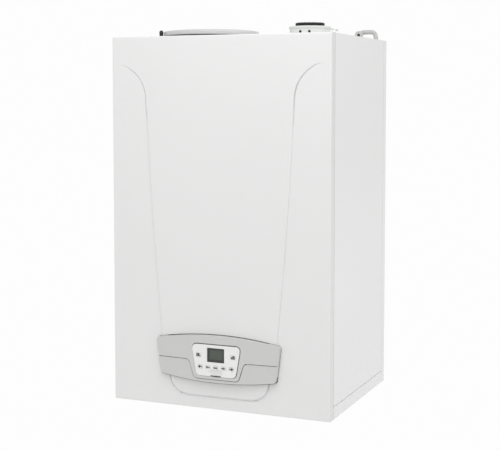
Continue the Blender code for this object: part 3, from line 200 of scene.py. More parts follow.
ceramicWhite = finish("ceramicWhite", (0.8, 0.78, 0.74), (0.74, 0.71, 0.66), (0.2, 0.35), (600, 0.05),
                      coat=0.3)
hangerGrey = finish("hangerGrey", (0.53, 0.53, 0.525), (0.48, 0.48, 0.475), (0.42, 0.52), (700, 0.12),
                    wear=0.2)
# Dark grey of the panel gasket, which also paints the shade in the seam around the front panel
gasketAndSeamShade = finish("gasketAndSeamShade", (0.1, 0.102, 0.1), (0.13, 0.132, 0.13), (0.5, 0.65), (900, 0.05))
# Near-black for pieces that paint shade: the strip in the fascia's seam, the slit under the thumb scoop and the
# band under the vessel's rim
paintedShadeDark = finish("paintedShadeDark", (0.035, 0.036, 0.035), (0.05, 0.05, 0.05), (0.5, 0.65), (900, 0.05))
knobRed = finish("knobRed", (0.45, 0.03, 0.025), (0.38, 0.025, 0.02), (0.3, 0.42), (900, 0.1))
print("materials made")


# Finish and width of the soft edges for the nodes that show as they are
keyNodes = ["key_upper_left", "key_upper_right"] + [f"key_lower_{i}" for i in range(1, 6)]
carried = [
    (sideEnamel, 0, ["back_plate", "right_side_panel", "top_panel", "base_tray"]),
    (zinc, 0, ["gas_pipe", "mixer_gas_pipe"]),
    (zinc, 0.0004, ["tank_frame", "vessel_shelf"]),
    (zinc, 0.0005, ["hinge_frame"]),
    (blackPlastic, 0, ["control_housing", "gas_air_mixer", "air_silencer", "valve_actuator",
                         "pressure_gauge"]),
    (blackPlastic, 0.0012, ["pump_body"]),
    (bezelBlack, 0.0003, ["display_frame"]),
    (screenGlass, 0, ["display_glass"]),
    (boardGreen, 0.0004, ["circuit_board"]),
    (jacketFoam, 0, ["storage_tank"]),
    (castAlloy, 0, ["flue_pipe", "burner_door", "fan_impeller", "gas_valve"]),
    (castAlloy, 0.001, ["heat_exchanger", "fan_housing"]),
    (ceramicWhite, 0, ["ignition_electrode"]),
    (brass, 0, ["air_vent", "safety_valve", "filling_tap"]),
    (brass, 0.0008, ["three_way_valve"]),
    (copper, 0, ["flow_pipe", "return_pipe", "heating_return_pipe", "tank_flow_pipe", "tank_return_pipe",
                   "hot_water_pipe", "cold_water_pipe"]),
    (plateWhite, 0, ["condensate_trap"]),
    (knobRed, 0, ["safety_valve_knob"]),
    (tapBlue, 0, ["filling_tap_lever"]),
    (keyWhite, 0.0009, keyNodes),
]
edgeShape = {"bevelAngle": 38, "smoothAngle": 35, "doorAngle": 52, "turnedAngle": 40}


def setFinish(obj, material):
    obj.data.materials.clear()
    obj.data.materials.append(material)


def softEdges(obj, width, segments=3):
    bevel = obj.modifiers.new("softEdges", "BEVEL")
    bevel.width = width
    bevel.segments = segments
    bevel.limit_method = "ANGLE"
    bevel.angle_limit = math.radians(edgeShape["bevelAngle"])
    bevel.harden_normals = True


def smoothByAngle(obj, degrees=edgeShape["smoothAngle"]):
    obj.data.shade_smooth()
    obj.data.set_sharp_from_angle(angle=math.radians(degrees))


for material, edgeWidth, names in carried:
    for name in names:
        setFinish(nodes[name], material)
        smoothByAngle(nodes[name], edgeShape["doorAngle" if name == "burner_door" else "smoothAngle"])
        if edgeWidth:
            softEdges(nodes[name], edgeWidth)
print("carried nodes finished")


# Ways of shaping that several pieces share

def newObject(name, data):
    made = bpy.data.objects.new(name, data)
    bpy.context.scene.collection.objects.link(made)
    return made


def shapeToObject(name, shape):
    bmesh.ops.recalc_face_normals(shape, faces=shape.faces)
    mesh = bpy.data.meshes.new(name)
    shape.to_mesh(mesh)
    shape.free()
    return newObject(name, mesh)


def roundCorner(before, corner, after, radius, steps=6):
    here = Vector(corner)
    into = (Vector(before) - here).normalized()
    out = (Vector(after) - here).normalized()
    reach = radius / math.tan(into.angle(out) / 2)
    start, end = here + into * reach, here + out * reach
    shares = [s / steps for s in range(steps + 1)]
    return [tuple(start.lerp(here, s).lerp(here.lerp(end, s), s)) for s in shares]


# Each point of a closed outline with the points before and after it
def neighbours(outline):
    return zip(outline[-1:] + outline[:-1], outline, outline[1:] + outline[:1])


def roundedOutline(corners, radius, steps=8):
    found = []
    for before, corner, after in neighbours(corners):
        found += roundCorner(before, corner, after, radius, steps)
    return found


def rectangle(left, foot, right, head):
    return [(left, foot), (right, foot), (right, head), (left, head)]


def grown(outline, distance):
    area = sum(b[0] * c[1] - c[0] * b[1] for _, b, c in neighbours(outline))
    side = distance if area > 0 else -distance
    found = []
    for before, point, after in neighbours([Vector(point) for point in outline]):
        along = (point - before).normalized() + (after - point).normalized()
        found.append(tuple(point + Vector((along.y, -along.x)).normalized() * side))
    return found


# From heights above the case's foot to heights in the frame
def lifted(outline):
    return [(x, z + footZ) for x, z in outline]


# A prism with an (x, z) outline, from one depth to another
def prismPiece(name, outline, near, far):
    shape = bmesh.new()
    front = [shape.verts.new((x, near, z)) for x, z in outline]
    face = shape.faces.new(front)
    moved = bmesh.ops.extrude_face_region(shape, geom=[face])
    back = [v for v in moved["geom"] if isinstance(v, bmesh.types.BMVert)]
    bmesh.ops.translate(shape, verts=back, vec=(0, far - near, 0))
    return shapeToObject(name, shape)


def applyAll(obj):
    graph = bpy.context.evaluated_depsgraph_get()
    graph.update()
    mesh = bpy.data.meshes.new_from_object(obj.evaluated_get(graph))
    obj.modifiers.clear()
    obj.data = mesh


def combine(piece, other, operation):
    step = piece.modifiers.new(operation.lower(), "BOOLEAN")
    step.operation = operation
    step.object = other
    applyAll(piece)
    bpy.data.objects.remove(other)


def cutBy(piece, outline, near, far, operation="DIFFERENCE"):
    combine(piece, prismPiece("cutter", outline, near, far), operation)


# A turned solid from (radius, height) pairs
def turnedPiece(name, profile, where, steps, axis="Z"):
    shape = bmesh.new()
    rings = []
    for radius, height in profile:
        if radius < 1e-7:
            rings.append([shape.verts.new((0, 0, height))])
            continue
        turns = [2 * math.pi * s / steps for s in range(steps)]
        rings.append([shape.verts.new((radius * math.cos(a), radius * math.sin(a), height)) for a in turns])
    loops = list(zip(rings, rings[1:]))
    if len(rings[0]) > 1 and len(rings[-1]) > 1:
        loops.append((rings[-1], rings[0]))
    for a, b in loops:
        for s in range(steps):
            n = (s + 1) % steps
            corners = [a[s % len(a)], a[n % len(a)], b[n % len(b)], b[s % len(b)]]
            unique = list(dict.fromkeys(corners))
            if len(unique) > 2:
                shape.faces.new(unique)
    if axis == "Y":
        bmesh.ops.transform(shape, matrix=Matrix.Rotation(math.radians(90), 4, "X"), verts=shape.verts)
    bmesh.ops.translate(shape, verts=shape.verts, vec=where)
    made = shapeToObject(name, shape)
    smoothByAngle(made, edgeShape["turnedAngle"])
    return made


def shifted(pairs, radius, height):
    return [(radius + r, height + z) for r, z in pairs]


def settle(piece, body, slot, material, *replaced):
    setFinish(piece, material)
    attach(piece, body)
    if replaced:
        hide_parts(*replaced)


# Fascia outline, as in the fixed frame
bandShape = {
    "topHalf": 0.1705, "topZ": 0.176, "crestZ": 0.192, "footHalf": 0.1595, "footZ": 0.085, "lowZ": 0.0725,
    "corner": 0.008, "steps": 24,
}


def fasciaOutline(grow=0.0):
    p = bandShape
    top, low = [], []
    for step in range(2 * p["steps"] + 1):
        t = step / p["steps"] - 1
        top.append((t * p["topHalf"], p["crestZ"] - (p["crestZ"] - p["topZ"]) * t * t))
        low.append((-t * p["footHalf"], p["lowZ"] + (p["footZ"] - p["lowZ"]) * t * t))
    found = []
    for before, corner, after in neighbours(top + low):
        half = p["topHalf"] if corner in top else p["footHalf"]
        if abs(abs(corner[0]) - half) < 1e-6:
            found += roundCorner(before, corner, after, p["corner"])
        elif abs(corner[0]) < half - p["corner"]:
            found.append(corner)
    return lifted(grown(found, grow))


# Fine front panel: the pressed field, the folded edges and the fascia's opening
panelShape = {
    "sheet": 0.0012, "edgeRadius": 0.0028, "wingSlope": 0.0145, "footSlope": 0.036, "land": 0.003,
    "creaseWidth": 0.0042, "arcRadius": 0.093, "arcInset": 0.005, "arcDrop": 0.162, "bow": 0.005,
    "fieldFootZ": 0.034, "fieldFootHalf": 0.1345, "fieldFootRadius": 0.047, "seatInset": 0.158, "seatZ": 0.18,
    "rowEnds": (0.006, 0.004), "rowStep": 0.004, "arcRows": (-12, -10, -9, -7, -6, -5, -3, -2, -1, 0, 1, 2),
    "arcRowStep": 0.001, "arcStop": 0.0004, "slopeStep": 0.001, "slopeLimit": 5,
    "columns": 34, "wingColumns": 10, "creaseSteps": (0, 0.15, 0.3, 0.45, 0.6, 0.75, 0.9, 1.1, 1.4),
    "creaseLand": 0.006, "creaseSpread": 1.6, "wingLand": 0.005, "rim": 2,
    "arcTurn": 86, "arcOverrun": (0.03, 0.0006), "lineSteps": (24, 12, 40, 26),
    "grooveDepth": 0.0036, "groovePlace": 0.0019, "grooveWidth": 0.0012, "grooveEnd": 0.026,
    "grooveFade": 0.014, "bendReach": 0.09, "straightShare": 0.45, "shallow": 0.0009,
    "footGrooveDepth": 0.0048, "footGroovePlace": 0.0034, "footGrooveWidth": 0.0023,
    "openingGap": 0.0019, "cut": 0.03, "weld": 0.00002, "smoothAngle": 50, "shadedReturnFacing": 0.8,
}
arcZ = caseHeight - panelShape["arcDrop"]
arcTop = arcZ + panelShape["arcRadius"]
cornerZ = panelShape["fieldFootZ"] + panelShape["fieldFootRadius"]


# Half width of the raised field at a height above the case's foot
def creaseAt(height):
    p = panelShape
    arcX = halfWidth - p["arcInset"]
    headX = arcX - p["arcRadius"]
    if height >= arcZ:
        rise = min(height - arcZ, p["arcRadius"])
        return arcX - math.sqrt(p["arcRadius"] ** 2 - rise ** 2)
    if height >= p["seatZ"]:
        t = (height - p["seatZ"]) / (arcZ - p["seatZ"])
        return p["seatInset"] + (headX - p["seatInset"]) * t + 4 * p["bow"] * t * (1 - t)
    footHalf, footRadius = p["fieldFootHalf"], p["fieldFootRadius"]
    if height >= cornerZ:
        t = (height - cornerZ) / (p["seatZ"] - cornerZ)
        return footHalf + (p["seatInset"] - footHalf) * t
    drop = min(cornerZ - height, footRadius)
    return footHalf - footRadius + math.sqrt(footRadius ** 2 - drop ** 2)


def creaseLine():
    p = panelShape
    foot, side, main, arc = p["lineSteps"]
    heights = np.concatenate([
        p["fieldFootZ"] + p["fieldFootRadius"] * (1 - np.cos(np.linspace(0, math.pi / 2, foot))),
        np.linspace(cornerZ, p["seatZ"], side)[1:],
        np.linspace(p["seatZ"], arcZ, main)[1:],
        arcZ + p["arcRadius"] * np.sin(np.linspace(0, math.radians(p["arcTurn"]), arc))[1:]])
    line = [(0, p["fieldFootZ"])] + [(creaseAt(h), h) for h in heights]
    line.append((halfWidth + p["arcOverrun"][0], heights[-1] + p["arcOverrun"][1]))
    return np.array(line)


def insideField(points, line):
    top = line[-1, 1]
    edge = np.interp(points[:, 1], line[1:, 1], line[1:, 0])
    return (points[:, 1] > line[0, 1]) & ((points[:, 0] < edge) | (points[:, 1] > top))


# How far the press sinks the sheet at each point, in metres
def reliefDepth(x, height, line):
    p = panelShape
    points = np.stack([np.abs(x), height], 1)
    best = np.full(len(points), 9.0)
    for a, b in zip(line, line[1:]):
        along = b - a
        t = np.clip(((points - a) @ along) / (along @ along), 0, 1)
        best = np.minimum(best, np.linalg.norm(points - a - t[:, None] * along, axis=1))
    inside = insideField(points, line)
    ramp = np.clip(np.where(inside, 0, best) / p["creaseWidth"], 0, 1)
    ramp = ramp * ramp * (3 - 2 * ramp)
    wing = (halfWidth - p["land"] - points[:, 0]) * p["wingSlope"]
    sunk = np.clip(np.minimum(wing, (height - p["land"]) * p["footSlope"]), 0, None)
    foot = height < p["seatZ"] / 2
    width = np.where(foot, p["footGrooveWidth"], p["grooveWidth"])
    middle = np.where(foot, p["footGroovePlace"], p["groovePlace"])
    bend = np.clip((height - arcZ + p["bendReach"]) / p["bendReach"], 0, 1)
    depth = p["grooveDepth"] * (p["straightShare"] + (1 - p["straightShare"]) * bend)
    groove = np.where(foot, p["footGrooveDepth"], depth) * np.exp(-((best - middle) / width) ** 2)
    fade = np.clip((halfWidth - p["grooveEnd"] - points[:, 0]) / p["grooveFade"], 0, 1)
    return sunk * ramp + np.where(inside, 0, groove) * fade * np.clip(sunk / p["shallow"], 0, 1)


# Positions across the sheet and how far back each lies, from return to return
def edgeProfile(low, high, inner):
    radius = panelShape["edgeRadius"]
    bend = [(radius * (1 - math.sin(a)), radius * (1 - math.cos(a))) for a in np.linspace(math.pi / 2, 0, 6)]
    depth = frontHigh.y - frontLow.y
    left = [(low, depth), (low, depth * 0.5)] + [(low + s, d) for s, d in bend]
    right = [(high - s, d) for s, d in reversed(bend)] + [(high, depth * 0.5), (high, depth)]
    return left + [(v, 0.0) for v in inner] + right


def panelRows():
    p = panelShape
    rows = list(np.arange(p["rowEnds"][0], caseHeight - p["rowEnds"][1], p["rowStep"]))
    rows += [p["fieldFootZ"] - s * p["creaseWidth"] for s in p["creaseSteps"]]
    rows += [arcTop + s * p["arcRowStep"] for s in p["arcRows"]]
    return sorted(set(round(r, 5) for r in rows))


# Closer columns beside the crease, the wider apart the flatter it runs
def panelColumns(z):
    p = panelShape
    stop, step = arcTop - p["arcStop"], p["slopeStep"]
    edge = creaseAt(min(max(z, p["fieldFootZ"]), stop))
    ahead = creaseAt(min(z + step, stop))
    behind = creaseAt(max(min(z, stop - step), p["fieldFootZ"]))
    reach = p["creaseWidth"] * min(math.hypot(1, (ahead - behind) / step), p["slopeLimit"])
    reach = min(reach, (halfWidth - p["creaseLand"] - edge) / p["creaseSpread"])
    inner = [edge * (i / p["columns"]) for i in range(1, p["columns"])]
    inner += [edge + s * reach for s in p["creaseSteps"]]
    far, outer = inner[-1], halfWidth - p["wingLand"]
    inner += [far + (outer - far) * (i / p["wingColumns"]) for i in range(1, p["wingColumns"] + 1)]
    return [-v for v in reversed(inner)] + [0.0] + inner


# Every face of the grid but those in the corners, where two returns meet
def panelFaces(rows, columns):
    rim, faces = panelShape["rim"], []
    for r in range(rows - 1):
        for c in range(columns - 1):
            if rim <= r < rows - 1 - rim or rim <= c < columns - 1 - rim:
                a = r * columns + c
                faces.append((a, a + 1, a + columns + 1, a + columns))
    return faces


def makeFrontPanel():
    p = panelShape
    rows = edgeProfile(0, caseHeight, panelRows())
    vertices = []
    for z, backZ in rows:
        profile = edgeProfile(-halfWidth, halfWidth, panelColumns(z))
        vertices += [(x, max(backX, backZ), z) for x, backX in profile]
    points = np.array(vertices)
    onFace = points[:, 1] < p["edgeRadius"]
    depth = reliefDepth(points[:, 0], points[:, 2], creaseLine())
    points[:, 1] += frontY + np.where(onFace, depth, 0)
    points[:, 2] += footZ
    mesh = bpy.data.meshes.new("pressedFrontPanel")
    mesh.from_pydata(points.tolist(), [], panelFaces(len(rows), len(profile)))
    mesh.validate()
    panel = newObject("pressedFrontPanel", mesh)
    shape = bmesh.new()
    shape.from_mesh(mesh)
    bmesh.ops.remove_doubles(shape, verts=shape.verts, dist=p["weld"])
    bmesh.ops.recalc_face_normals(shape, faces=shape.faces)
    shape.to_mesh(mesh)
    shape.free()
    if sum(f.normal.y for f in mesh.polygons) > 0:
        mesh.flip_normals()
    thick = panel.modifiers.new("sheet", "SOLIDIFY")
    thick.thickness = p["sheet"]
    thick.offset = -1
    cutBy(panel, fasciaOutline(p["openingGap"]), frontY - p["cut"], frontY + p["cut"])
    smoothByAngle(panel, p["smoothAngle"])
    settle(panel, "front", "case", enamel, "front_panel")
    # Faces turned sideways, the returns, take the darker enamel copy as painted shade
    panel.data.materials.append(shadedReturnEnamel)
    for face in panel.data.polygons:
        if abs(face.normal.x) > p["shadedReturnFacing"]:
            face.material_index = 1


makeFrontPanel()
print("front panel made")


# Fascia mouldings: barrel-shaped, with the upper one's tab around the control plate
mouldShape = {
    "bulge": 0.016, "endBulge": 0.008, "start": 0.004, "back": 0.006, "wall": 0.0025, "hollowDepth": 0.0045,
    "slice": 0.006, "sliceMargin": 0.01, "touch": 0.00001, "edge": 0.0011, "smoothAngle": 30, "cut": 0.02,
    "lowerStep": 0.0012, "partingZ": 0.128, "partingHalf": 0.0765, "partingGap": 0.0008,
    "tabFootZ": 0.0805, "tabFootHalf": 0.062, "tabCorner": 0.014, "regionHalf": 0.2, "regionTopZ": 0.25,
    "pocketGap": 0.0018, "pocketShift": (0.0007, 0.0008),
}
# The near-black strip around the mouldings' lower part, which paints the shade in the gap there, and the pale
# lips around their upper ends
seamShape = {"grow": 0.0011, "foot": 0.02, "head": 0.1, "half": 0.1585, "pocketGap": 0.001, "back": 0.001}
lipShape = {"start": 0.14, "end": 0.2, "foot": 0.1004, "head": 0.22, "core": -0.0008}
plateShape = {
    "topZ": 0.1693, "footZ": 0.089, "topHalf": 0.068, "footHalf": 0.054, "corner": 0.0135, "proud": 0.001,
    "back": 0.003, "edge": 0.0007, "window": (0.0006, 0.0002), "keyHoleShade": (0.004, 0.0005),
    "scoopZ": 0.0985, "scoopHalf": 0.0205, "scoopHigh": 0.0108, "scoopDeep": 0.0052, "scoopSegments": 64,
    "slitHalf": 0.015, "slitRise": (0.0008, 0.0022), "slitCorner": 0.0005, "slitDepth": (0.0001, 0.0008),
}


def bulgeAt(x):
    m = mouldShape
    return m["bulge"] - (m["bulge"] - m["endBulge"]) * (x / bandShape["topHalf"]) ** 2


# Cuts a prism into upright slices and moves its front face out to the barrel shape
def barrelled(piece, proud, front):
    touch = mouldShape["touch"]
    shape = bmesh.new()
    shape.from_mesh(piece.data)
    reach = bandShape["topHalf"] + mouldShape["sliceMargin"]
    for x in np.arange(-reach, reach, mouldShape["slice"]):
        everything = shape.verts[:] + shape.edges[:] + shape.faces[:]
        bmesh.ops.bisect_plane(shape, geom=everything, plane_co=(x, 0, 0), plane_no=(1, 0, 0), dist=touch)
    for vertex in shape.verts:
        if vertex.co.y < front + touch:
            vertex.co.y = frontY - bulgeAt(vertex.co.x) - proud
    shape.to_mesh(piece.data)
    shape.free()


# Everything above the parting line, with the tab that hangs below it
def tabRegion():
    m = mouldShape
    side, half, foot = m["regionHalf"], m["partingHalf"], m["tabFootHalf"]
    top, line, low = m["regionTopZ"], m["partingZ"], m["tabFootZ"]
    corners = [(-side, line), (-half, line), (-foot, low), (foot, low), (half, line), (side, line),
               (side, top), (-side, top)]
    return roundedOutline(corners, m["tabCorner"])


def plateOutline(grow):
    p = plateShape
    corners = [(-p["footHalf"], p["footZ"]), (p["footHalf"], p["footZ"]),
               (p["topHalf"], p["topZ"]), (-p["topHalf"], p["topZ"])]
    return grown(roundedOutline(corners, p["corner"]), grow)


def makeFascia():
    m, s, p = mouldShape, seamShape, lipShape
    near, far = frontY - m["start"], frontY + m["back"]
    past = (near - m["cut"], far + m["cut"])
    for name in ("fascia_upper", "fascia_lower"):
        piece = prismPiece(name + "Moulding", fasciaOutline(), near, far)
        if name == "fascia_upper":
            cutBy(piece, lifted(grown(tabRegion(), -m["partingGap"])), *past, "INTERSECT")
            cutBy(piece, shifted(lifted(plateOutline(m["pocketGap"])), *m["pocketShift"]), *past)
            barrelled(piece, 0, near)
        else:
            cutBy(piece, lifted(grown(tabRegion(), m["partingGap"])), *past)
            barrelled(piece, -m["lowerStep"], near)
            cutBy(piece, fasciaOutline(-m["wall"]), far - m["hollowDepth"], past[1])
        softEdges(piece, m["edge"])
        smoothByAngle(piece, m["smoothAngle"])
        settle(piece, "control", "fascia", fasciaGrey, name)
    # A near-black strip behind the mouldings' lower edge paints the shade in the gap around them
    seam = prismPiece("fasciaSeamShade", fasciaOutline(s["grow"]), near, far)
    cutBy(seam, lifted(rectangle(-s["half"], s["foot"], s["half"], s["head"])), *past, "INTERSECT")
    cutBy(seam, lifted(plateOutline(s["pocketGap"])), *past)
    barrelled(seam, -m["lowerStep"] - s["back"], near)
    settle(seam, "control", "black_plastic", paintedShadeDark)
    for name, side in (("fasciaLipLeft", -1), ("fasciaLipRight", 1)):
        piece = prismPiece(name, fasciaOutline(s["grow"]), near, far)
        left, right = sorted((side * p["start"], side * p["end"]))
        cutBy(piece, lifted(rectangle(left, p["foot"], right, p["head"])), *past, "INTERSECT")
        cutBy(piece, fasciaOutline(p["core"]), *past)
        barrelled(piece, -s["back"], near)
        settle(piece, "control", "fascia", fasciaGrey)


def makePlate():
    p = plateShape
    near, far = frontY - mouldShape["start"], frontY + p["back"]
    crown = frontY - mouldShape["bulge"] - p["proud"]
    cut = mouldShape["cut"]
    piece = prismPiece("controlPlateCover", lifted(plateOutline(0)), near, far)
    for name in ["display_frame"] + keyNodes:
        low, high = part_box(name)
        corner, gap = p["window" if name == "display_frame" else "keyHoleShade"]
        outline = roundedOutline(rectangle(low.x - gap, low.z - gap, high.x + gap, high.z + gap), corner)
        cutBy(piece, outline, near - cut, far + cut)
    barrelled(piece, p["proud"], near)
    bpy.ops.mesh.primitive_uv_sphere_add(segments=p["scoopSegments"], ring_count=p["scoopSegments"] // 2,
                                         location=(0, crown, footZ + p["scoopZ"]))
    scoop = bpy.context.object
    scoop.scale = (p["scoopHalf"], p["scoopDeep"], p["scoopHigh"])
    bpy.ops.object.transform_apply(scale=True)
    combine(piece, scoop, "DIFFERENCE")
    softEdges(piece, p["edge"], 2)
    smoothByAngle(piece, mouldShape["smoothAngle"])
    settle(piece, "control", "plate", plateWhite, "control_plate")
    # A near-black slit at the foot of the thumb scoop paints the shade in its recess
    low, high = p["slitRise"]
    corners = rectangle(-p["slitHalf"], p["footZ"] + low, p["slitHalf"], p["footZ"] + high)
    slit = prismPiece("scoopSlitShade", lifted(roundedOutline(corners, p["slitCorner"], 3)),
                      crown - p["slitDepth"][0], frontY - mouldShape["bulge"] + p["slitDepth"][1])
    settle(slit, "control", "black_plastic", paintedShadeDark)


makeFascia()
makePlate()
print("fascia and plate made")


# Vessel top: crimped rim and shallow dome, given as (radius, height) pairs. Heights are from the top, the rim,
# the rim's underside or the foot, and those in rimEdge, crimp and bowl have radii from the outer one.
vesselShape = {
    "dome": 0.003, "rim": 0.0119, "steps": 128,
    "crown": [(0, 0), (0.05, -0.0001), (0.09, -0.0004), (0.112, -0.001), (0.1205, -0.0018)],
    "groove": [(0.1232, -0.0002), (0.1256, 0.0002)],
    "rimEdge": [(-0.0016, -0.0002), (-0.0003, -0.0016), (0, -0.0032)],
    "crimp": [(0, 0.0016), (-0.0008, 0.0004), (-0.0042, 0), (-0.0046, -0.001)],
    "bowl": [(-0.002, 0.024), (-0.005, 0.013)],
    "base": [(0.116, 0.005), (0.095, 0), (0, 0)],
    "band": [(-0.005, 0.0002), (-0.0026, 0.0002), (-0.0026, -0.0022), (-0.005, -0.0022)],
    "stem": 0.0038, "stemDrop": 0.004, "stemSteps": 24,
    "lugFoot": 0.448, "lugHigh": 0.006, "lugHalf": 0.006, "lugBite": 0.006,
}


def makeVessel():
    v = vesselShape
    low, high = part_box("expansion_vessel")
    r = (high.x - low.x) / 2
    rim = high.z - v["dome"]
    under = rim - v["rim"]
    profile = shifted(v["crown"], 0, high.z) + shifted(v["groove"], 0, rim) + shifted(v["rimEdge"], r, rim)
    profile += shifted(v["crimp"], r, under) + shifted(v["bowl"], r, low.z) + shifted(v["base"], 0, low.z)
    body = turnedPiece("vesselShell", profile, tankCentre, v["steps"])
    settle(body, "case", "vessel", vesselGrey, "expansion_vessel")
    # A near-black band just under the rim paints the shadow that the rim casts
    band = turnedPiece("vesselRimShade", shifted(v["band"], r, under), tankCentre, v["steps"])
    settle(band, "case", "seal", paintedShadeDark)
    x, y, _ = middleOf("charging_valve_cap")
    foot, half = v["lugFoot"], v["lugHalf"]
    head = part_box("charging_valve_cap")[1].z - v["stemDrop"]
    stem = turnedPiece("vesselStem", [(0, head), (v["stem"], head), (v["stem"], foot), (0, foot)], (x, y, 0),
                       v["stemSteps"])
    settle(stem, "case", "brass", brass)
    reach = tankCentre[0] - math.sqrt(r ** 2 - (y - tankCentre[1]) ** 2) + v["lugBite"]
    lug = prismPiece("vesselLug", rectangle(x - half, foot, reach, foot + v["lugHigh"]), y - half, y + half)
    settle(lug, "case", "vessel", vesselGrey)


makeVessel()


# Charging valve cap with its skirt and knurl: shares of its radius, heights from its top and from its foot
capShape = {
    "top": [(0, 0), (0.45, -0.0004), (0.78, -0.0016), (0.95, -0.0036), (1, -0.0062), (1, -0.0105),
            (0.86, -0.011), (0.86, -0.0125), (1, -0.013)],
    "foot": [(1, 0.0006), (0.92, 0), (0, 0)],
    "steps": 40,
}


def makeCap():
    low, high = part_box("charging_valve_cap")
    x, y, _ = middleOf("charging_valve_cap")
    r = (high.x - low.x) / 2
    profile = [(r * share, high.z + drop) for share, drop in capShape["top"]]
    profile += [(r * share, low.z + rise) for share, rise in capShape["foot"]]
    cover = turnedPiece("valveCapCover", profile, (x, y, 0), capShape["steps"])
    settle(cover, "case", "black_plastic", blackPlastic, "charging_valve_cap")


makeCap()


# Tank jacket with its bands, and the smooth covers of the fan's and the pump's motors
deviceShape = {
    "jacketEnd": 0.036, "jacketProud": 0.0011, "jacketBite": 0.003, "jacketStep": 0.6, "jacketSteps": 144,
    "bands": (0.3, 0.66), "bandHigh": 0.011, "motorSteps": 72,
    "fanMotor": [
        (0, 0.0335), (0.01, 0.0335), (0.0108, 0.034), (0.029, 0.034), (0.0318, 0.0333), (0.0335, 0.0315),
        (0.034, 0.029), (0.034, 0.02), (0.0332, 0.0194), (0.0332, 0.018), (0.034, 0.0174),
        (0.034, 0.0122), (0.0332, 0.0116), (0.0332, 0.0102), (0.034, 0.0096), (0.034, 0.0046),
        (0.0395, 0.0038), (0.04, 0.003), (0.04, 0.0005), (0.0395, 0), (0, 0)],
    "pumpMotor": [
        (0, 0.071), (0.0065, 0.071), (0.0074, 0.072), (0.02, 0.072), (0.03, 0.0706), (0.038, 0.068),
        (0.0402, 0.0648), (0.041, 0.06), (0.041, 0.0442), (0.0402, 0.0436), (0.0402, 0.0418),
        (0.041, 0.0412), (0.041, 0.0066), (0.0436, 0.0048), (0.044, 0.0038), (0.044, 0.0005),
        (0.0435, 0), (0, 0)],
}


def makeDevices():
    d = deviceShape
    low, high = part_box("storage_tank")
    r = (high.y - low.y) / 2
    foot, head = low.z + d["jacketEnd"], high.z - d["jacketEnd"]
    out, step = r + d["jacketProud"], d["jacketProud"] * d["jacketStep"]
    profile = [(r - d["jacketBite"], foot), (out - step, foot), (out, foot + step)]
    for share in d["bands"]:
        z = foot + (head - foot) * share
        end = z + d["bandHigh"]
        profile += [(out, z), (out - step, z + step), (out - step, end - step), (out, end)]
    profile += [(out, head - step), (out - step, head), (r - d["jacketBite"], head)]
    jacket = turnedPiece("tankJacket", profile, tankCentre, d["jacketSteps"])
    settle(jacket, "case", "insulation", jacketFoam)
    for name, key, slot, material in (("fan_motor", "fanMotor", "black_plastic", blackPlastic),
                                      ("pump_motor", "pumpMotor", "alloy", castAlloy)):
        x, _, z = middleOf(name)
        cover = turnedPiece(key + "Cover", d[key], (x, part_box(name)[1].y, z), d["motorSteps"], "Y")
        settle(cover, "case", slot, material, name)


makeDevices()


# Flue collar with its foot flange and two sampling plugs, and the ribbed seal in its mouth
flueShape = {
    "radius": 0.0545, "collarSteps": 128,
    "collarHead": [(-0.0008, 0), (0.0001, -0.0004), (0.0004, -0.0012), (0.0004, -0.0052), (-0.0004, -0.0062),
                   (-0.0014, -0.0068)],
    "collarFoot": [(-0.0014, 0.0062), (-0.0006, 0.0046), (0.003, 0.0038), (0.0038, 0.003), (0.004, 0),
                   (-0.003, 0)],
    "collarMouth": [(-0.003, -0.0004), (-0.0026, 0)],
    "plugTurns": (-98, -72), "plugSink": 0.0012, "plugRise": 0.014, "plugSteps": 28,
    "plug": [(0, 0.002), (0.00238, 0.0019), (0.0034, 0.001), (0.0034, -0.001), (0, -0.001)],
    "sealDrop": 0.0035, "sealSteps": 96,
    "sealTop": [(0.0351, 0)],
    "sealRibs": [(-0.0012, 0), (-0.0002, -0.0008), (0, -0.0018), (-0.0006, -0.0034), (0, -0.005),
                 (-0.0006, -0.0066), (0, -0.0082), (-0.0004, -0.01)],
    "sealFoot": [(0, 0.0006), (-0.0006, 0)],
    "sealBase": [(0.0369, 0)],
    "sealMouth": [(0.0369, -0.002), (0.0345, -0.002), (0.0345, -0.0005)],
}


def makeFlue():
    f = flueShape
    low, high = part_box("flue_collar")
    x, y, _ = middleOf("flue_pipe")
    outer = f["radius"]
    profile = shifted(f["collarHead"], outer, high.z) + shifted(f["collarFoot"], outer, low.z)
    profile += shifted(f["collarMouth"], outer, high.z)
    collar = turnedPiece("collarShell", profile, (x, y, 0), f["collarSteps"])
    settle(collar, "case", "collar", collarPale, "flue_collar")
    for index, degrees in enumerate(f["plugTurns"]):
        turn = math.radians(degrees)
        out = Vector((math.cos(turn), math.sin(turn), 0))
        plug = turnedPiece(f"samplingPlug{index}", f["plug"], (0, 0, 0), f["plugSteps"])
        place = Vector((x, y, low.z + f["plugRise"])) + out * (outer - f["plugSink"])
        plug.data.transform(Matrix.Translation(place) @ out.to_track_quat("Z", "Y").to_matrix().to_4x4())
        settle(plug, "case", "black_plastic", blackPlastic)
    sealLow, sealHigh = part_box("flue_seal")
    r = (sealHigh.x - sealLow.x) / 2
    head, foot = sealHigh.z - f["sealDrop"], sealLow.z
    ring = shifted(f["sealTop"], 0, head) + shifted(f["sealRibs"], r, head) + shifted(f["sealFoot"], r, foot)
    ring += shifted(f["sealBase"], 0, foot) + shifted(f["sealMouth"], 0, head)
    seal = turnedPiece("sealRing", ring, (x, y, 0), f["sealSteps"])
    settle(seal, "case", "seal", sealRubber, "flue_seal")


makeFlue()
print("top fittings made")


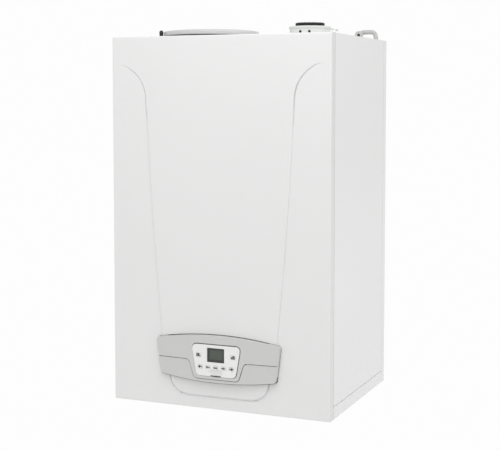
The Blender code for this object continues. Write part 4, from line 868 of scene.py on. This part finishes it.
# Generic signs on the keys, in shares of a sign's half width and half height, and the display's border
signShape = {
    "ink": 0.00015, "sunk": 0.0002, "line": 0.0023, "overrun": 0.7, "wide": 0.0046, "high": 0.0028,
    "strokes": {
        "key_upper_left": [[(-1, 1), (-1, -1), (1, -1)], [(-0.3, 1), (0.3, 1), (0.3, 0), (-0.3, 0), (-0.3, 1)]],
        "key_upper_right": [[(-1, -1), (1, -1)], [(-1, 0), (1, 0)], [(0, 1), (1, 1)]],
        "key_lower_1": [[(-1, 0), (-0.1, 0.8), (-0.1, -0.8), (-1, 0)], [(0.5, 0), (1, 0)]],
        "key_lower_2": [[(-1, 0), (1, 0)], [(-0.4, 0.7), (-0.4, -0.7)]],
        "key_lower_3": [[(-1, 0), (1, 0)], [(-0.8, -0.3), (0.8, -0.3)]],
        "key_lower_4": [[(-1, 0), (1, 0)], [(0, -0.8), (0, 0.8)]],
        "key_lower_5": [[(1, 0), (0.1, 0.8), (0.1, -0.8), (1, 0)], [(-1, 0), (-0.5, 0)]],
    },
}
borderShape = {"left": 0.0024, "right": 0.0008, "head": 0.0013, "foot": 0.003, "half": 0.0002, "cut": 0.01}


# Flat raised lines, each segment a thin block
def strokeSign(name, strokes, where, body):
    s = signShape
    pieces = bmesh.new()
    half = s["line"] / 2
    for stroke in strokes:
        points = [Vector((x * s["wide"], z * s["high"])) for x, z in stroke]
        for a, b in zip(points, points[1:]):
            u = (b - a).normalized()
            side = Vector((-u.y, u.x)) * half
            start, end = a - u * half * s["overrun"], b + u * half * s["overrun"]
            corners = [start + side, end + side, end - side, start - side]
            near, far = ([pieces.verts.new((where[0] + c.x, where[1] + depth, where[2] + c.y)) for c in corners]
                         for depth in (-s["ink"], s["sunk"]))
            pieces.faces.new(near)
            pieces.faces.new(list(reversed(far)))
            for i in range(4):
                j = (i + 1) % 4
                pieces.faces.new([near[i], far[i], far[j], near[j]])
    settle(shapeToObject(name, pieces), body, "black_plastic", symbolInk)


def makeSigns():
    b = borderShape
    low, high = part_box("display_glass")
    outline = rectangle(low.x, low.z, high.x, high.z)
    border = prismPiece("displayBorder", outline, low.y - b["half"], low.y + b["half"])
    window = rectangle(low.x + b["left"], low.z + b["foot"], high.x - b["right"], high.z - b["head"])
    cutBy(border, window, low.y - b["cut"], low.y + b["cut"])
    settle(border, "control", "screen", bezelBlack)
    for body, members in frame["record"]["behaviour"]["bodies"].items():
        for member in members:
            if member in signShape["strokes"]:
                x, _, z = middleOf(member)
                where = (x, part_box(member)[0].y, z)
                strokeSign(f"sign_{member}", signShape["strokes"][member], where, body)


makeSigns()
print("keys marked")


# Bent hanger bars with a flattened, drilled end. The bar's path is given from the inner end and from the outer
# end, towards the outside and from the bar's top.
hangerShape = {
    "radius": 0.0062, "rise": 0.024, "inset": 0.011, "smoothAngle": 50,
    "innerPath": [(0, -0.0035), (0.008, -0.0006), (0.014, 0)],
    "outerPath": [(-0.012, 0), (-0.0045, -0.002), (-0.001, -0.007)], "outerFoot": (0.002, 0.0006),
    "eyeRise": 0.016, "eyeRadius": 0.0115, "eyeIn": 0.01, "hole": 0.0042, "thick": 0.003, "chamfer": 0.0008,
    "holeShadeGrow": 1.02, "plugSink": 0.001, "eyeSteps": 40, "plugSteps": 28,
    "plateHalf": (0.0095, 0.0085), "plateRise": (0.0003, 0.0028), "plateCorner": 0.0008, "plateEdge": 0.0006,
}


def bentBar(name, path, y):
    curve = bpy.data.curves.new(name + "Path", "CURVE")
    curve.dimensions = "3D"
    curve.bevel_depth = hangerShape["radius"]
    curve.bevel_resolution = 6
    curve.use_fill_caps = True
    spline = curve.splines.new("BEZIER")
    spline.resolution_u = 8
    spline.bezier_points.add(len(path) - 1)
    for point, (x, z) in zip(spline.bezier_points, path):
        point.co = (x, y, z)
        point.handle_left_type = point.handle_right_type = "AUTO"
    drawn = newObject(name + "Path", curve)
    graph = bpy.context.evaluated_depsgraph_get()
    bar = newObject(name + "Bar", bpy.data.meshes.new_from_object(drawn.evaluated_get(graph)))
    bpy.data.objects.remove(drawn)
    smoothByAngle(bar, hangerShape["smoothAngle"])
    return bar


def makeHangers():
    h = hangerShape
    for name, side in (("left_hanger", -1), ("right_hanger", 1)):
        low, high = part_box(name)
        middleY = (low.y + high.y) / 2
        ends = (low.x, high.x) if side > 0 else (high.x, low.x)
        inner = ends[0] + side * (h["inset"] + h["eyeIn"])
        outer = ends[1] - side * h["inset"]
        top = topZ + h["rise"]
        path = [(inner + side * out, top + rise) for out, rise in h["innerPath"]]
        path += [(outer + side * out, top + rise) for out, rise in h["outerPath"]]
        path.append((outer + side * h["outerFoot"][0], topZ + h["outerFoot"][1]))
        settle(bentBar(name, path, middleY), "case", "zinc", hangerGrey, name)
        r, half, c = h["eyeRadius"], h["thick"], h["chamfer"]
        ring = [(h["hole"], half), (r - c, half), (r, half - c), (r, c - half), (r - c, -half)]
        ring.append((h["hole"], -half))
        where = (inner, middleY - h["radius"], topZ + h["eyeRise"])
        settle(turnedPiece(name + "Eye", ring, where, h["eyeSteps"], "Y"), "case", "zinc", hangerGrey)
        # A black plug fills the eye's hole and paints the shade inside it
        r, front = h["hole"] * h["holeShadeGrow"], half - h["plugSink"]
        plug = turnedPiece(name + "HoleShade", [(r, front), (0, front), (0, -half), (r, -half)], where,
                           h["plugSteps"], "Y")
        settle(plug, "case", "black_plastic", blackPlastic)
        halfX, halfY = h["plateHalf"]
        foot, head = h["plateRise"]
        for x in (inner, outer):
            corners = rectangle(x - halfX, topZ + foot, x + halfX, topZ + head)
            plate = prismPiece(name + "Foot", roundedOutline(corners, h["plateCorner"], 3),
                               middleY - halfY, middleY + halfY)
            softEdges(plate, h["plateEdge"], 2)
            settle(plate, "case", "zinc", zinc)


makeHangers()


# The front panel's gasket, whose dark grey also paints the shade in the seam around the panel's edge, and the
# left side panel without screw heads above the case's top
caseShape = {
    "gasketInset": 0.0007, "gasketWide": 0.006, "gasketBack": (0.0001, 0.001), "cut": 0.01, "margin": 0.1,
}


def makeSeals():
    c = caseShape

    def frameLine(inset):
        return rectangle(inset - halfWidth, footZ + inset, halfWidth - inset, topZ - inset)

    back = frontHigh.y
    seal = prismPiece("panelGasket", frameLine(c["gasketInset"]), *(back + b for b in c["gasketBack"]))
    inside = frameLine(c["gasketInset"] + c["gasketWide"])
    cutBy(seal, inside, back - c["cut"], back + c["cut"])
    settle(seal, "front", "seal", gasketAndSeamShade)
    node = nodes["left_side_panel"]
    trimmed = newObject("leftSidePanelPlain", node.data.copy())
    trimmed.matrix_world = node.matrix_world.copy()
    below = rectangle(-halfWidth - c["margin"], footZ - c["margin"], halfWidth, topZ)
    cutBy(trimmed, below, frontY - c["margin"], c["margin"], "INTERSECT")
    smoothByAngle(trimmed)
    settle(trimmed, "case", "case", sideEnamel, "left_side_panel")


makeSeals()


# Screws with a cross recess: two at the top's front right corner, four under the tray. The head's profile and
# the cross are in shares of its radius and height.
screwShape = {
    "radius": 0.0042, "height": 0.0026,
    "profile": [(0, 1), (0.45, 0.96), (0.85, 0.66), (1, 0.2), (1, 0), (0, 0)],
    "cross": (0.95, 0.24), "steps": 28, "topX": 0.29, "topBacks": (0.031, 0.064), "topRise": 0.0078,
    "trayInset": 0.009, "trayBacks": (0.1, 0.3),
}


def makeScrew(name, where, direction):
    s = screwShape
    r, h = s["radius"], s["height"]
    profile = [(r * out, h * rise) for out, rise in s["profile"]]
    head = turnedPiece(name, profile, (0, 0, 0), s["steps"])
    shape = bmesh.new()
    for wide, deep in (s["cross"], s["cross"][::-1]):
        cube = bmesh.ops.create_cube(shape, size=1)["verts"]
        bmesh.ops.scale(shape, vec=(r * wide, r * deep, h), verts=cube)
        bmesh.ops.translate(shape, vec=(0, 0, h), verts=cube)
    recess = shapeToObject(name + "Recess", shape)
    cutting = head.modifiers.new("recess", "BOOLEAN")
    cutting.object = recess
    cutting.use_self = True
    applyAll(head)
    bpy.data.objects.remove(recess)
    smoothByAngle(head)
    turn = Vector(direction).to_track_quat("Z", "Y").to_matrix().to_4x4()
    head.data.transform(Matrix.Translation(where) @ turn)
    settle(head, "case", "zinc", zinc)


def makeScrews():
    s = screwShape
    for index, back in enumerate(s["topBacks"]):
        makeScrew(f"topScrew{index}", (s["topX"], frontLow.y + back, topZ + s["topRise"]), (0, 0, 1))
    for side, label in ((-1, "Left"), (1, "Right")):
        for index, back in enumerate(s["trayBacks"]):
            where = (side * (halfWidth - s["trayInset"]), frontHigh.y + back, footZ)
            makeScrew(f"trayScrew{label}{index}", where, (0, 0, -1))


makeScrews()
print("screws made")


# Floor, pale and far below the hanging case
stageShape = {
    "drop": 0.55, "size": 30.0, "colour": (0.86, 0.86, 0.855, 1), "rough": 0.9,
    "tone": (0.985, 0.985, 0.985, 1),
}


# Shows the second shader to the rays named, and the first to all others
def showTo(tree, first, second, end, *rays):
    seen = addNode(tree, "LightPath")
    mask, output = seen, rays[0]
    for ray in rays[1:]:
        either = addNode(tree, "Math", operation="MAXIMUM")
        joinUp(tree, (mask, output, either, 0), (seen, ray, either, 1))
        mask, output = either, "Value"
    mix = addNode(tree, "MixShader")
    joinUp(tree, (mask, output, mix, 0), (first, 0, mix, 1), (second, 0, mix, 2),
           (mix, "Shader", tree.nodes[end], "Surface"))


def stageMaterial():
    made = bpy.data.materials.new("paleStage")
    made.use_nodes = True
    tree = made.node_tree
    shader = tree.nodes["Principled BSDF"]
    setInputs(shader, {"Base Color": stageShape["colour"], "Roughness": stageShape["rough"]})
    glow = addNode(tree, "Emission", {"Color": stageShape["tone"]})
    showTo(tree, shader, glow, "Material Output", "Is Camera Ray", "Is Glossy Ray", "Is Transmission Ray")
    return made


def makeStage():
    bpy.ops.mesh.primitive_plane_add(size=stageShape["size"], location=(0, 0, footZ - stageShape["drop"]))
    floor = bpy.context.object
    floor.name = "paleFloor"
    setFinish(floor, stageMaterial())


makeStage()


# Light: an even sky that is brighter above than below, and three soft lamps as (power, size, place)
lightShape = {
    "fade": {"From Min": -0.6, "From Max": 0.7, "To Min": 0.5, "To Max": 0.89}, "tint": (1, 1, 0.995, 1),
    "aim": (0, -0.3, 0),
    "lamps": {"fillLamp": (4.5, 2.6, (-0.9, -3.2, -0.6)), "sideLamp": (12.5, 2.0, (3.0, -0.4, 1.5)),
              "topLamp": (6.2, 1.0, (0.3, -1.15, 1.35))},
}


def makeSky():
    world = bpy.data.worlds.new("studio")
    world.use_nodes = True
    bpy.context.scene.world = world
    tree = world.node_tree
    sky = tree.nodes["Background"]
    setInputs(sky, {"Color": lightShape["tint"]})
    direction = addNode(tree, "TexCoord")
    parts = addNode(tree, "SeparateXYZ")
    ramp = addNode(tree, "MapRange", lightShape["fade"])
    plain = addNode(tree, "Background", {"Color": stageShape["tone"]})
    joinUp(tree, (direction, "Generated", parts, "Vector"), (parts, "Z", ramp, "Value"),
           (ramp, "Result", sky, "Strength"))
    showTo(tree, sky, plain, "World Output", "Is Camera Ray", "Is Transmission Ray")


def makeLamps():
    for name, (power, size, where) in lightShape["lamps"].items():
        lamp = bpy.data.lights.new(name, "AREA")
        lamp.energy = power
        lamp.size = size
        holder = newObject(name, lamp)
        holder.location = where
        towards = Vector(lightShape["aim"]) - holder.location
        holder.rotation_euler = towards.to_track_quat("-Z", "Y").to_euler()


makeSky()
makeLamps()


# Camera, from the case's corners in the photograph
cameraShape = {
    "place": (1.1987, -3.1017, 0.3152), "yaw": 22.8606, "pitch": 4.0, "lens": 83.153, "sensor": 36,
    "shiftY": -0.0906,
}


def makeCamera():
    c = cameraShape
    data = bpy.data.cameras.new("photoCamera")
    data.lens = c["lens"]
    data.sensor_width = c["sensor"]
    data.shift_y = c["shiftY"]
    camera = newObject("photoCamera", data)
    camera.location = c["place"]
    camera.rotation_euler = (math.radians(90 - c["pitch"]), 0, math.radians(c["yaw"]))
    bpy.context.scene.camera = camera


makeCamera()
bpy.context.scene.view_settings.view_transform = "Standard"
print("stage, light and camera made")
